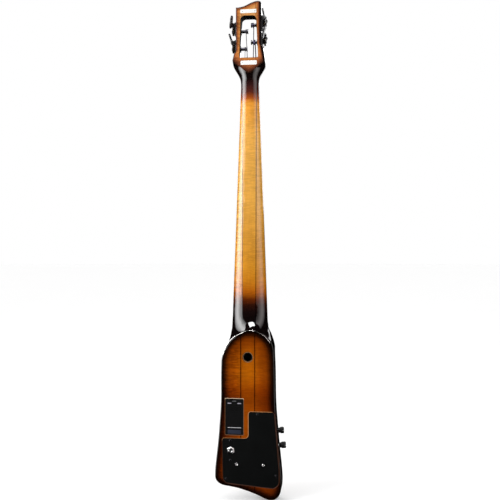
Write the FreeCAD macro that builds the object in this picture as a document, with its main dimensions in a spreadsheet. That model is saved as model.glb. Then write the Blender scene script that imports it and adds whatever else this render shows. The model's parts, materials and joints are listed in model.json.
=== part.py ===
"""Solid-body electric upright bass with a neck-through build, seen as its maker would take it apart.

Millimetres. +Z runs up the neck, the strings face -Y and the flat back faces +Y. Seen from the
strings' side, +X is to the right and the lowest string is at -X. The origin is the centre of the
stand socket's mouth, which lies in the plane of the flat back.
"""
import FreeCAD, Part
import bisect
import math
import os
import re

import Sketcher
from FreeCAD import Placement, Rotation, Vector

# ---------------------------------------------------------------- driving dimensions
DIMENSIONS = {
    # levels along Y
    "back_y": 0, "plate_y": -38, "front_y": -44, "glue_y": -50,
    "head_front_low_y": -54, "head_front_high_y": -46,
    "head_back_low_y": -19.2, "head_back_high_y": -11.6,
    # levels along Z
    "head_top_z": 905, "ear_z": 757, "nut_z": 700, "nut_length": 5, "board_end_z": 20,
    "bridge_z": -164, "body_start_z": -10, "shoulder_z": 75,
    # fingerboard
    "board_half_top": 23, "board_half_end": 48, "board_crown_top": -61, "board_crown_end": -63,
    "board_radius_top": 80, "board_radius_end": 150, "seat_inset": 0.8,
    # laminations across X
    "stripe_inner": 16.7, "stripe_outer": 18.7, "wing_inner": 48.5,
    # slotted head
    "slot_low_z": 761, "slot_high_z": 866.5, "slot_half_low": 24.2, "slot_half_high": 20,
    "slot_bevel": 0.8, "head_half": 33, "head_round": 1.2, "rim_round": 2,
    # tuning machines
    "post_y": -33, "post_radius": 4, "post_cap_radius": 6, "post_cap": 2.5, "post_bore": 4.06,
    "bushing_radius": 6.5, "bushing_flange": 8.5, "bushing_flange_thick": 2.5,
    "tuner_plate": 3, "tuner_plate_below": 12, "tuner_plate_above": 20, "tuner_front_y": -48,
    "tuner_back_y": -18, "worm_rise": 13, "worm_out": 8, "worm_radius": 4.2, "worm_root": 3.0,
    "worm_shaft": 2.5, "worm_bore": 2.56, "lug_thick": 4, "lug_height": 10, "gear_teeth": 16,
    "gear_radius": 9.8, "gear_root": 7.9, "gear_face": 4.4, "gear_hub": 6, "key_half": 14,
    "key_start_y": -10, "key_end_y": 16, "key_thick": 4.6,
    # bridge and tailpiece
    "string_spread_nut": 5.67, "string_spread_bridge": 11, "bridge_inner_y": -73, "bridge_outer_y": -69,
    "bridge_half": 42, "bridge_thick_low": 12, "bridge_thick_high": 5, "foot_y": -53, "pickup_thick": 2,
    "stud_x": 27, "stud_radius": 2.5, "stud_tip_y": -64, "bridge_travel": 2,
    "wheel_radius": 8, "wheel_thick": 3, "wheel_front_y": -57.2,
    "tail_top_z": -248, "tail_low_z": -292, "tail_half": 44, "tail_y": -57,
    # stand socket
    "socket_radius": 10, "socket_outer": 11.6, "socket_length": 30, "socket_rim": 14,
    # battery box
    "battery_x": 34.2, "battery_z": -151.3, "battery_half_x": 23.1, "battery_half_z": 45.6,
    "battery_depth": 27, "battery_flange": 1.6, "lid_half_x": 17.6, "lid_high_z": -120.5,
    "lid_hinge_z": -180, "lid_thick": 2.4, "hinge_pin": 1.1,
    # control cavity and cover
    "cover_thick": 2.6, "cover_sunk": 1.0, "cavity_ledge": 5, "cavity_floor_y": -33, "bevel": 1.4,
    # side controls
    "wall_tilt": 5, "wall_reach": 74.8, "knob_radius": 8.2, "knob_length": 14.6, "knob_y": -20,
    "knob_gap": 0.8, "shaft_radius": 3, "volume_z": -186.8, "tone_z": -224.2, "pot_depth": 8.2,
    # jacks
    "jack_x": 43.4, "jack_z": -237, "jack_bore": 3.25, "jack_barrel": 5.5, "jack_nut": 9,
    "jack_length": 27, "mini_z": -271, "phones_x": 28.3, "aux_x": -39.4, "mini_bore": 1.85,
    "mini_barrel": 3, "mini_nut": 4.4, "mini_length": 15,
}

# One row per string: bass to treble, with the diameter, which side its machine sits on, and the
# height of its post and reach of its post's tip across the slot.
STRINGS = {
    "e": {"lane": -3, "diameter": 2.67, "side": -1, "post_z": 802.9, "tip_x": -4.6, "wind_x": -14.5},
    "a": {"lane": -1, "diameter": 2.16, "side": -1, "post_z": 846.7, "tip_x": -4.6, "wind_x": -11.0},
    "d": {"lane": 1, "diameter": 1.65, "side": 1, "post_z": 831.2, "tip_x": 2.0, "wind_x": 9.0},
    "g": {"lane": 3, "diameter": 1.14, "side": 1, "post_z": 786.2, "tip_x": 3.8, "wind_x": 11.4},
}
# Height of each blank plate on the back of the head, with half its own height.
LABEL_HEIGHTS = {748: 5.2, 877: 4.6}
KEY_ANGLES = {"e": -14, "a": 10, "d": -8, "g": 18}
NECK_FRONT = -50.0
SECTION_STEPS = 18
SLICE_SPACING = 6.0
REACH = 400.0

# Slices up the neck: height, crest offset across, crest level, half-width at +X and at -X, and the
# power of the rounding at +X and at -X. A crest behind the back plane is cut off flat by it.
HEEL_SLICES = [
    (-40, 0, 400, 68.3, 67.0, 3, 3),
    (-10, 0, 300, 67.4, 66.6, 3, 3),
    (5, -3, 200, 64.8, 65.9, 2.4, 3),
    (20, -5, 110, 59.6, 65.7, 2.13, 3),
    (36, -8, 56, 53.6, 62.8, 2.05, 3),
    (50, -10, 22, 50.0, 58.2, 2.0, 2.6),
    (60, -11, 7.5, 48.6, 54.3, 1.9, 2.3),
    (67, -10, 0, 47.2, 50.6, 1.9, 2.1),
    (74, -8, -6, 46.5, 48.2, 2.0, 2.1),
    (84, -5, -13.5, 45.9, 46.4, 2.1, 2.1),
    (98, -2, -20, 45.2, 45.2, 2.2, 2.2),
    (115, 0, -22.9, 44.5, 44.5, 2.2, 2.2),
    (135, 0, -23.6, 43.8, 43.8, 2.2, 2.2),
    (160, 0, -23.9, 42.9, 42.9, 2.2, 2.2),
    (200, 0, -24.5, 41.4, 41.4, 2.2, 2.2),
]
HEAD_SLICES = [
    (640, 0, -31.1, 25.2, 25.2, 2.2, 2.2),
    (670, 0, -31.6, 24.1, 24.1, 2.2, 2.2),
    (690, 0, -31.9, 23.4, 23.4, 2.2, 2.2),
    (700, 0, -31.0, 23.5, 23.5, 2.2, 2.2),
    (710, 0, -27.2, 24.8, 24.8, 2.2, 2.2),
    (719, 0, -22.6, 28.0, 28.0, 2.2, 2.2),
    (726, 0, -20.2, 31.9, 31.9, 2.2, 2.2),
    (733, 0, -17.8, 36.2, 36.2, 2.2, 2.2),
    (740, 0, -13.6, 40.2, 40.2, 2.3, 2.3),
    (747, 0, -6.4, 42.8, 42.8, 2.9, 2.9),
    (752, 0, -3.0, 42.5, 42.5, 4.5, 4.5),
    (757, 0, 0.0, 41.5, 41.5, 8, 8),
]

# Outlines seen from the strings' side, as (x, z).
BODY_SIDES = [
    (67.4, -10), (68.5, -60), (68.6, -108), (71.6, -161), (76.7, -221.8), (82.4, -272), (83.8, -297.5),
    (81.0, -312.6), (73.9, -320.2), (45.4, -327.7), (9.1, -335.3), (-14.1, -342.9), (-32.5, -350.4),
    (-47, -356.4), (-58.8, -358.5), (-70.5, -355), (-79.3, -346), (-84.1, -331), (-85.1, -305),
    (-81.9, -267), (-78.0, -230), (-72.7, -170), (-69.2, -123), (-68.0, -70), (-66.6, -10),
]
# The head flares alike on both sides and then draws in to the lowest tuner plate on each side.
HEAD_FLARE = [(23.6, 705), (28.6, 720), (36.2, 733), (42.4, 746), (41.5, 757)]
HEAD_EARS = {1: [(39.3, 766), (37.6, 773.6)], -1: [(40.3, 766), (38.3, 778), (36.0, 790.3)]}
HEAD_CROWN = [
    (32.2, 887.6), (17.5, 888.9), (5.3, 892.5), (-6.9, 898.1), (-16.5, 901.1), (-25.2, 902.4), (-31, 899.9),
]
COVER_CORNERS = [
    ((-2, -138), 6), ((-2, -206), 10), ((65, -206), 6), ((62.4, -318.5), 15), ((-78.5, -329.6), 18),
    ((-78.5, -285), 60), ((-66.5, -138), 7),
]
COVER_SCREWS = [(-24.7, -144.5), (44.3, -212), (44.3, -262), (55, -309), (-71.5, -297)]

DOCUMENT = FreeCAD.newDocument("electric_upright_bass")
SHEET = DOCUMENT.addObject("Spreadsheet::Sheet", "Dims")


def fill_sheet():
    """Writes every driving dimension as a plain number with an alias."""
    for row, (alias, value) in enumerate(DIMENSIONS.items(), start=1):
        SHEET.set(f"A{row}", alias)
        SHEET.set(f"B{row}", str(value))
        SHEET.setAlias(f"B{row}", alias)
    DOCUMENT.recompute()


def size(alias):
    """Reads one driving dimension from the sheet."""
    return float(SHEET.get(alias))


def formula(text):
    """Points the aliases in a formula at the sheet."""
    return re.sub(r"[a-z][a-z_]+", lambda word: "Dims." + word.group(), str(text))


# ---------------------------------------------------------------- document helpers
TURN_TO = {
    "Z": Rotation(),
    "X": Rotation(Vector(0, 1, 0), 90),
    "-X": Rotation(Vector(0, 1, 0), -90),
    "Y": Rotation(Vector(1, 0, 0), -90),
    "-Y": Rotation(Vector(1, 0, 0), 90),
}


def primitive(kind, name, at, axis="Z", **sizes):
    """A Part primitive whose sizes and place are bound to the sheet; its own Z points along axis."""
    item = DOCUMENT.addObject("Part::" + kind, name)
    item.Placement = Placement(Vector(), TURN_TO[axis])
    for property_name, value in sizes.items():
        item.setExpression(property_name, formula(value))
    for letter, value in zip("xyz", at):
        item.setExpression("Placement.Base." + letter, formula(value))
    return item


def block(name, x_range, y_range, z_range):
    """A box between pairs of formulas."""
    return primitive(
        "Box", name, (x_range[0], y_range[0], z_range[0]),
        Length=f"({x_range[1]}) - ({x_range[0]})",
        Width=f"({y_range[1]}) - ({y_range[0]})",
        Height=f"({z_range[1]}) - ({z_range[0]})",
    )


def rod(name, start, axis, radius, length):
    """A cylinder from a start point along an axis."""
    return primitive("Cylinder", name, start, axis, Radius=radius, Height=length)


def fused(name, *items):
    result = DOCUMENT.addObject("Part::MultiFuse", name)
    result.Shapes = list(items)
    return result


def cut(name, base, tool):
    result = DOCUMENT.addObject("Part::Cut", name)
    result.Base = base
    result.Tool = tool
    return result


def common(name, base, tool):
    result = DOCUMENT.addObject("Part::Common", name)
    result.Base = base
    result.Tool = tool
    return result


def group(name, *items):
    """Identical fasteners or chips kept together as separate solids."""
    result = DOCUMENT.addObject("Part::Compound", name)
    result.Links = list(items)
    return result


def feature(name, shape, placement=None):
    """A shape that neither a sketch nor a primitive can make."""
    item = DOCUMENT.addObject("Part::Feature", name)
    item.Shape = shape
    if placement:
        item.Placement = placement
    return item


def number(text):
    """Works a formula out in a spare cell of the sheet."""
    SHEET.set("D1", f"={text}")
    SHEET.recompute()
    return float(SHEET.get("D1"))


def new_sketch(body, plane_role, lift=0):
    """A sketch on one of the body's own origin planes, lifted along that plane's normal."""
    plane = next(item for item in body.Origin.OriginFeatures if item.Role == plane_role)
    sketch = body.newObject("Sketcher::SketchObject", body.Name + "_sketch")
    sketch.AttachmentSupport = [(plane, "")]
    sketch.MapMode = "FlatFace"
    sketch.setExpression("AttachmentOffset.Base.z", formula(lift))
    return sketch


def hold_point(sketch, line, end, at):
    """Ties one end of a line to a place given by two formulas."""
    for kind, axis, value in (("DistanceX", -2, at[0]), ("DistanceY", -1, at[1])):
        if number(value) == 0:
            sketch.addConstraint(Sketcher.Constraint("PointOnObject", line, end, axis))
            continue
        limit = sketch.addConstraint(Sketcher.Constraint(kind, -1, 1, line, end, number(value)))
        sketch.setExpression(f"Constraints[{limit}]", formula(value))


def add_outline(sketch, points):
    """A closed chain of lines through points given as pairs of formulas."""
    places = [Vector(number(across), number(up), 0) for across, up in points]
    first = sketch.GeometryCount
    for start, end in zip(places, places[1:] + places[:1]):
        sketch.addGeometry(Part.LineSegment(start, end), False)
    for step, at in enumerate(points):
        following = first + (step + 1) % len(points)
        sketch.addConstraint(Sketcher.Constraint("Coincident", first + step, 2, following, 1))
        hold_point(sketch, first + step, 1, at)


def sketched(name, plane_role, lift, length, outline, edge_round):
    """A PartDesign body: an outline padded along its plane's normal and rounded all over."""
    body = DOCUMENT.addObject("PartDesign::Body", name)
    sketch = new_sketch(body, plane_role, lift)
    add_outline(sketch, outline)
    pad = body.newObject("PartDesign::Pad", name + "_pad")
    pad.Profile = sketch
    pad.setExpression("Length", formula(length))
    DOCUMENT.recompute()
    fillet = body.newObject("PartDesign::Fillet", name + "_round")
    fillet.Base = (pad, [f"Edge{index + 1}" for index in range(len(pad.Shape.Edges))])
    fillet.Radius = edge_round
    return body


def turned(name, profile, placement=None):
    """A PartDesign body turned about its own Z from (radius, height) formulas."""
    body = DOCUMENT.addObject("PartDesign::Body", name)
    body.Placement = placement or Placement()
    sketch = new_sketch(body, "XZ_Plane")
    add_outline(sketch, profile)
    turning = body.newObject("PartDesign::Revolution", name + "_turning")
    turning.Profile = sketch
    turning.ReferenceAxis = (sketch, ["V_Axis"])
    turning.Angle = 360
    return body


# ---------------------------------------------------------------- shape helpers
def spline(points):
    curve = Part.BSplineCurve()
    curve.interpolate(points)
    return curve.toShape()


def extrude_outline(points_xz, front_y, back_y, smooth=False):
    """A plate between two Y levels from an outline in the XZ plane."""
    points = [Vector(x, back_y, z) for x, z in points_xz]
    if smooth:
        edges = [spline(points), Part.makeLine(points[-1], points[0])]
    else:
        edges = [Part.makeLine(a, b) for a, b in zip(points, points[1:] + points[:1])]
    return Part.Face(Part.Wire(edges)).extrude(Vector(0, front_y - back_y, 0))


def rounded_wire(corners, y, inset=0):
    """A closed outline of straight sides whose corners are arcs, pushed inwards by inset."""
    points = [Vector(x, y, z) for (x, z), _ in corners]
    edges, ends = [], []
    count = len(points)
    for index, (corner, radius) in enumerate(zip(points, (radius for _, radius in corners))):
        towards_last = (points[index - 1] - corner).normalize()
        towards_next = (points[(index + 1) % count] - corner).normalize()
        half_angle = towards_last.getAngle(towards_next) / 2
        reach = radius / math.tan(half_angle)
        start, end = corner + towards_last * reach, corner + towards_next * reach
        inwards = (towards_last + towards_next).normalize()
        middle = corner + inwards * (radius / math.sin(half_angle) - radius)
        edges.append(Part.Arc(start, middle, end).toShape())
        ends.append((start, end))
    for index in range(count):
        edges.append(Part.makeLine(ends[index - 1][1], ends[index][0]))
    wire = Part.Wire(Part.sortEdges(edges)[0])
    return wire.makeOffset2D(-inset) if inset else wire


def rounded_plate(corners, front_y, back_y, inset=0):
    return Part.Face(rounded_wire(corners, back_y, inset)).extrude(Vector(0, front_y - back_y, 0))


def bevelled_recess(corners, floor_y, bevel):
    """The space a recess takes out of the flat back, its mouth widened by a bevel."""
    straight = rounded_plate(corners, floor_y, 1)
    mouth = Part.makeLoft(
        [rounded_wire(corners, -bevel), rounded_wire(corners, bevel * 0.5, -1.5 * bevel)], True, True)
    return straight.fuse(mouth)


def rectangle_corners(x_mid, z_mid, half_x, half_z, radius):
    sides = [(-1, -1), (1, -1), (1, 1), (-1, 1)]
    return [((x_mid + half_x * right, z_mid + half_z * up), radius) for right, up in sides]


def slice_wire(height, crest_x, crest_y, half_plus, half_minus, power_plus, power_minus):
    """One closed slice across the neck: a rounded back on straight flanks."""
    rise = crest_y - NECK_FRONT
    points = []
    for step in range(SECTION_STEPS + 1):
        angle = math.pi * step / SECTION_STEPS
        across, up = math.cos(angle), math.sin(angle)
        half = half_plus - crest_x if across > 0 else half_minus + crest_x
        power = power_plus if across > 0 else power_minus
        reach = (abs(across / half) ** power + abs(up / rise) ** power) ** (-1 / power)
        points.append(Vector(crest_x + reach * across, NECK_FRONT + reach * up, height))
    curve = Part.BSplineCurve()
    curve.interpolate(Points=points, Parameters=[step / SECTION_STEPS for step in range(SECTION_STEPS + 1)])
    below = [points[-1] + Vector(0, -5, 0), points[0] + Vector(0, -5, 0)]
    flanks = [Part.makeLine(points[-1], below[0]), Part.makeLine(*below), Part.makeLine(below[1], points[0])]
    return Part.Wire([curve.toShape()] + flanks)


def steady_curve(heights, values):
    """A smooth curve through the values that never swings past them."""
    gaps = [high - low for low, high in zip(heights, heights[1:])]
    rates = [(high - low) / gap for low, high, gap in zip(values, values[1:], gaps)]
    inner = [2 * a * b / (a + b) if a * b > 0 else 0 for a, b in zip(rates, rates[1:])]
    slopes = [rates[0]] + inner + [rates[-1]]

    def value_at(height):
        index = min(bisect.bisect_right(heights, height), len(gaps)) - 1
        gap = gaps[index]
        t = (height - heights[index]) / gap
        return (
            values[index] * (1 + 2 * t) * (1 - t) ** 2 + values[index + 1] * t * t * (3 - 2 * t)
            + gap * t * (1 - t) * (slopes[index] * (1 - t) - slopes[index + 1] * t))

    return value_at


def slice_loft(rows):
    """A loft through evenly spaced slices between the first and last rows."""
    heights, *columns = zip(*rows)
    curves = [steady_curve(heights, values) for values in columns]
    count = math.ceil((heights[-1] - heights[0]) / SLICE_SPACING)
    steps = [heights[0] + (heights[-1] - heights[0]) * index / count for index in range(count + 1)]
    return Part.makeLoft([slice_wire(step, *(curve(step) for curve in curves)) for step in steps], True)


def side_profile(points_yz):
    """A shape's outline seen from the side, run right across the instrument."""
    points = [Vector(-REACH, y, z) for y, z in points_yz]
    return Part.Face(Part.makePolygon(points + points[:1])).extrude(Vector(2 * REACH, 0, 0))


def head_back(height):
    """The level of the head's back at a height."""
    slope = (size("head_back_high_y") - size("head_back_low_y")) / (size("head_top_z") - size("ear_z"))
    return size("head_back_low_y") + slope * (height - size("ear_z"))


def head_front(height):
    low = size("nut_z") + size("nut_length")
    slope = (size("head_front_high_y") - size("head_front_low_y")) / (size("head_top_z") - low)
    return size("head_front_low_y") + slope * (height - low)


def board_half(height):
    """The fingerboard's half-width at a height."""
    along = (size("nut_z") - height) / (size("nut_z") - size("board_end_z"))
    return size("board_half_top") + along * (size("board_half_end") - size("board_half_top"))


def slot_half(height):
    """The half-width of the head's slot at a height."""
    along = (height - size("slot_low_z")) / (size("slot_high_z") - size("slot_low_z"))
    return size("slot_half_low") + along * (size("slot_half_high") - size("slot_half_low"))


# ---------------------------------------------------------------- timber
def neck_shape():
    """Heel, neck and flare: three lofts that meet on the straight stretch, trimmed to their levels."""
    middle = Part.makeLoft([slice_wire(*row) for row in (HEEL_SLICES[-1], HEAD_SLICES[0])], True, True)
    glue, front, plate = size("glue_y"), size("front_y"), size("plate_y")
    ear, board_end, shoulder = size("ear_z"), size("board_end_z"), size("shoulder_z")
    start = size("body_start_z")
    trim = side_profile([
        (plate, start), (plate, board_end), (front, board_end), (front, shoulder), (glue, shoulder),
        (glue, ear), (head_back(ear), ear), (head_back(710), 710), (0, 690), (0, start),
    ])
    whole = middle.fuse([slice_loft(HEEL_SLICES), slice_loft(HEAD_SLICES)]).common(trim)
    halves = [board_half(level) - size("seat_inset") for level in (board_end, shoulder)]
    seat = extrude_outline(
        [(-halves[0], board_end), (halves[0], board_end), (halves[1], shoulder), (-halves[1], shoulder)],
        glue, plate)
    return whole.fuse(seat)


def on_head_back(edge):
    """Whether an edge runs round the back of the head."""
    levels = [point.y - head_back(point.z) for point in edge.discretize(5)]
    return max(abs(level) for level in levels) < 0.05 and edge.BoundBox.ZMax > size("ear_z") + 0.1


def head_shape():
    """The slotted head: its outline between two slightly tilted planes."""
    half = size("head_half")
    plus, minus = (
        [Vector(side * x, 0, z) for x, z in HEAD_FLARE + HEAD_EARS[side]] for side in (1, -1))
    crown = [Vector(x, 0, z) for x, z in HEAD_CROWN]
    tip = Vector(-half, 0, 895.5)
    step_plus, step_minus = Vector(half, 0, plus[-1].z), Vector(-half, 0, minus[-1].z)
    corners = [plus[-1], step_plus, crown[0]], [crown[-1], tip, step_minus, minus[-1]], [minus[0], plus[0]]
    lines = [Part.makeLine(start, end) for run in corners for start, end in zip(run, run[1:])]
    edges = Part.sortEdges([spline(plus), spline(crown), spline(minus)] + lines)[0]
    prism = Part.Face(Part.Wire(edges)).extrude(Vector(0, -80, 0))
    low, top = size("nut_z") + size("nut_length"), size("head_top_z")
    ear, glue = size("ear_z"), size("glue_y")
    profile = side_profile([
        (head_front(low), low), (head_front(top), top), (head_back(top), top), (head_back(ear), ear),
        (glue, ear), (glue, low),
    ])
    head = prism.common(profile)
    return head.makeFillet(size("head_round"), [edge for edge in head.Edges if on_head_back(edge)])


def body_shape():
    """The flat-backed body below the shoulders."""
    return extrude_outline(BODY_SIDES, size("plate_y"), size("back_y"), smooth=True)


def fillet_edges(shape, radius, wanted):
    """Rounds the edges that a test picks."""
    return shape.makeFillet(radius, [edge for edge in shape.Edges if wanted(edge.BoundBox)])


def on_level(level, lowest=-REACH, highest=2 * REACH + 200):
    """A test for edges that lie flat at a Y level, between two heights."""
    return lambda box: (
        abs(box.YMin - level) < 0.01 and abs(box.YMax - level) < 0.01
        and box.ZMax > lowest and box.ZMin < highest and not (box.ZMax - box.ZMin < 0.01))


def y_rod(x, z, radius, start_y, end_y):
    return Part.makeCylinder(radius, end_y - start_y, Vector(x, start_y, z), Vector(0, 1, 0))


def slot_shape():
    """The head's through slot and the ramp that lets the strings down into it."""
    low, high = size("slot_low_z"), size("slot_high_z")
    low_half, high_half = size("slot_half_low"), size("slot_half_high")
    corners = [((-low_half, low), 3), ((low_half, low), 3), ((high_half, high), 11), ((-high_half, high), 11)]
    ramp_top = size("nut_z") + size("nut_length") + 1
    ramp = side_profile([
        (-70, ramp_top), (head_front(ramp_top), ramp_top), (-30, low - 3), (-30, low + 4), (-70, low + 4)])
    ramp_sides = Part.makeBox(2 * high_half, 100, low, Vector(-high_half, -80, ramp_top))
    bevel = size("slot_bevel")
    mouth = Part.makeLoft(
        [rounded_wire(corners, -bevel, 0.01), rounded_wire(corners, 2 * bevel, -2 * bevel)], True, True)
    slope = math.degrees(math.atan(head_back(low + 1) - head_back(low)))
    tilt = Placement(Vector(0, 0, 0), Rotation(Vector(1, 0, 0), -slope), Vector(0, 0, low))
    mouth.Placement = Placement(Vector(0, head_back(low), 0), Rotation()).multiply(tilt)
    return rounded_plate(corners, -80, 10).fuse([ramp.common(ramp_sides), mouth])


def post_holes():
    """Bushing holes through the cheeks, with flats for the bushing flanges inside the slot."""
    holes = []
    for row in STRINGS.values():
        outwards = Vector(row["side"], 0, 0)
        centre = Vector(0, size("post_y"), row["post_z"])
        seat = slot_half(row["post_z"]) + 0.5
        holes.append(Part.makeCylinder(size("bushing_flange"), seat, centre, outwards))
        holes.append(Part.makeCylinder(size("bushing_radius"), size("head_half") + 5, centre, outwards))
    return holes


def wall_normal():
    tilt = math.radians(size("wall_tilt"))
    return Vector(-math.cos(tilt), 0, math.sin(tilt))


def wall_point(height):
    """Where the bass side's wall is at a knob's height."""
    fall = (height - size("volume_z")) * math.tan(math.radians(size("wall_tilt")))
    reach = size("wall_reach") - fall
    return Vector(-reach, size("knob_y"), height)


def cavity_shape():
    """The control cavity under the cover, leaving a lug of timber at each screw."""
    ledge = size("cavity_ledge")
    hollow = rounded_plate(COVER_CORNERS, size("cavity_floor_y"), -1, inset=ledge)
    lugs = [y_rod(x, z, ledge, size("cavity_floor_y") - 1, 0) for x, z in COVER_SCREWS]
    pot_holes = []
    for height in (size("volume_z"), size("tone_z")):
        inside = wall_point(height) - wall_normal() * 16
        pot_holes.append(Part.makeCylinder(9.5, 9.6, inside, wall_normal()))
        pot_holes.append(Part.makeCylinder(3.5, 22, inside, wall_normal()))
    return [hollow.cut(lugs)] + pot_holes


def screw_holes(places, radius, depth, mouth_y):
    return [y_rod(x, z, radius, mouth_y - depth, mouth_y) for x, z in places]


def timber_shape():
    """The whole of the timber as one shape, before it is parted into its laminations."""
    back, start = size("back_y"), size("body_start_z")
    rounding = size("rim_round")
    neck = fillet_edges(neck_shape().removeSplitter(), rounding, on_level(back))
    body = fillet_edges(body_shape(), rounding, on_level(back, highest=start - 5))
    whole = neck.fuse([body, head_shape()]).removeSplitter()
    cover_floor = -size("cover_sunk") - size("cover_thick")
    battery = rectangle_corners(
        size("battery_x"), size("battery_z"), size("battery_half_x"), size("battery_half_z"), 2)
    socket = [
        y_rod(0, 0, size("socket_outer"), -size("socket_length"), 1),
        Part.makeCone(size("socket_outer"), size("socket_rim"), 2.4, Vector(0, -2.4, 0), Vector(0, 1, 0)),
    ]
    channel = Part.makeBox(6.4, 8.5, 664, Vector(-3.2, size("glue_y"), size("board_end_z")))
    tools = [slot_shape(), channel, bevelled_recess(COVER_CORNERS, cover_floor, size("bevel"))]
    tools += [bevelled_recess(battery, -size("battery_depth") - 1, size("bevel"))]
    tools += post_holes() + cavity_shape() + socket
    tools += screw_holes(COVER_SCREWS, 1.4, 12, 0) + label_pins()
    return whole.cut(tools)


def label_pins():
    """The pins that hold the two blank plates on the back of the head."""
    return [
        y_rod(side * 16, height, 0.8, head_back(height) - 2.6, head_back(height) + 0.9)
        for side in (-1, 1) for height in LABEL_HEIGHTS]


def build_timber():
    timber = feature("timber", timber_shape())
    core = block("core_space", ("-stripe_inner", "stripe_inner"), (-80, 20), (-400, 950))
    stripes = group(
        "stripe_space",
        block("stripe_space_bass", ("-stripe_outer", "-stripe_inner"), (-80, 20), (-400, 950)),
        block("stripe_space_treble", ("stripe_inner", "stripe_outer"), (-80, 20), (-400, 950)))
    cheeks = group(
        "cheek_space",
        block("cheek_space_bass", ("-wing_inner", "-stripe_outer"), (-80, 20), (-400, 950)),
        block("cheek_space_treble", ("stripe_outer", "wing_inner"), (-80, 20), (-400, 950)))
    wings = group(
        "wing_space",
        block("wing_space_bass", (-120, "-wing_inner"), (-80, 20), (-400, 950)),
        block("wing_space_treble", ("wing_inner", 120), (-80, 20), (-400, 950)))
    return [
        common("neck_core", timber, core), common("neck_stripes", timber, stripes),
        common("neck_sides", timber, cheeks), common("body_wings", timber, wings)]


def build_top_plate():
    """The thin board that closes the front of the body up to the end of the fingerboard."""
    end, front = size("board_end_z"), size("front_y")
    outline = [(59.6, end), (64.8, 5)] + BODY_SIDES + [(-65.9, 5), (-65.7, end)]
    plate = extrude_outline(outline, front, size("plate_y"), smooth=True)
    return feature("top_plate", fillet_edges(plate, size("rim_round"), on_level(front, highest=0)))


def board_slice(height, crown, radius):
    half, glue = board_half(height), size("glue_y")
    edge_y = crown + radius - math.sqrt(radius ** 2 - half ** 2)
    low, high = Vector(-half, glue, height), Vector(half, glue, height)
    left, right = Vector(-half, edge_y, height), Vector(half, edge_y, height)
    arc = Part.Arc(left, Vector(0, crown, height), right).toShape()
    return Part.Wire([Part.makeLine(low, left), arc, Part.makeLine(right, high), Part.makeLine(high, low)])


def fret_height(number_from_nut):
    scale = size("nut_z") - size("bridge_z")
    return size("nut_z") - scale * (1 - 2 ** (-number_from_nut / 12))


def dot_rods():
    """Position dots along the bass edge of the fingerboard."""
    rods = []
    for fret in (3, 5, 7, 9, 12, 15, 17, 19, 21, 24):
        height = (fret_height(fret) + fret_height(fret - 1)) / 2
        edge = -board_half(height)
        rods.append(Part.makeCylinder(1.6, 1.3, Vector(edge + 1.25, -53.2, height), Vector(-1, 0, 0)))
    return rods


def build_fingerboard():
    ends = [
        board_slice(size("board_end_z"), size("board_crown_end"), size("board_radius_end")),
        board_slice(size("nut_z"), size("board_crown_top"), size("board_radius_top")),
    ]
    board = Part.makeLoft(ends, True, True).cut(dot_rods())
    return [feature("fingerboard", board), feature("side_dots", Part.makeCompound(dot_rods()))]


# ---------------------------------------------------------------- strings
def string_path(row):
    """The points a string passes through: off its post, over the nut and bridge, into the tailpiece."""
    radius = row["diameter"] / 2
    lane = row["lane"]
    nut_x = lane * size("string_spread_nut")
    bridge_x = lane * size("string_spread_bridge")
    crown, board_radius = size("board_crown_top"), size("board_radius_top")
    board_y = crown + board_radius - math.sqrt(board_radius ** 2 - nut_x ** 2)
    nut = Vector(nut_x, board_y - 0.8 - radius, size("nut_z") + size("nut_length") / 2)
    bridge_y = size("bridge_inner_y") if abs(lane) == 1 else size("bridge_outer_y")
    bridge = Vector(bridge_x, bridge_y, size("bridge_z"))
    anchor = Vector(bridge_x, -53, -274)
    to_post = Vector(0, size("post_y") - nut.y, row["post_z"] - nut.z)
    reach = size("post_radius") + radius + 0.35
    turn = math.asin(reach / to_post.Length)
    heading = Rotation(Vector(1, 0, 0), math.degrees(turn)).multVec(to_post).normalize()
    tangent = nut + heading * math.sqrt(to_post.Length ** 2 - reach ** 2)
    tangent.x = row["wind_x"]
    return [tangent, nut, bridge, anchor]


def bent_rod(points, radius):
    """Straight round runs with a ball at each bend."""
    pieces = []
    for start, end in zip(points, points[1:]):
        pieces.append(Part.makeCylinder(radius, (end - start).Length, start, end - start))
    pieces += [Part.makeSphere(radius, point) for point in points[1:-1]]
    return pieces[0].fuse(pieces[1:]).removeSplitter()


def string_shape(row, extra=0.0):
    """A string with its ball end; extra widens it into the groove that it lies in."""
    points = string_path(row)
    half = 2.8 + extra
    ball = Part.makeCylinder(half, 2 * half, points[-1] - Vector(half, 0, 0), Vector(1, 0, 0))
    return bent_rod(points, row["diameter"] / 2 + extra).fuse(ball)


def build_strings():
    return [feature("string_" + note, string_shape(row)) for note, row in STRINGS.items()]


# ---------------------------------------------------------------- tuning machines
def worm_lead():
    """How far one turn of the worm moves the gear's teeth."""
    contact = (size("worm_rise") - size("worm_radius") + size("gear_radius")) / 2
    return 2 * math.pi * contact / size("gear_teeth")


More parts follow.
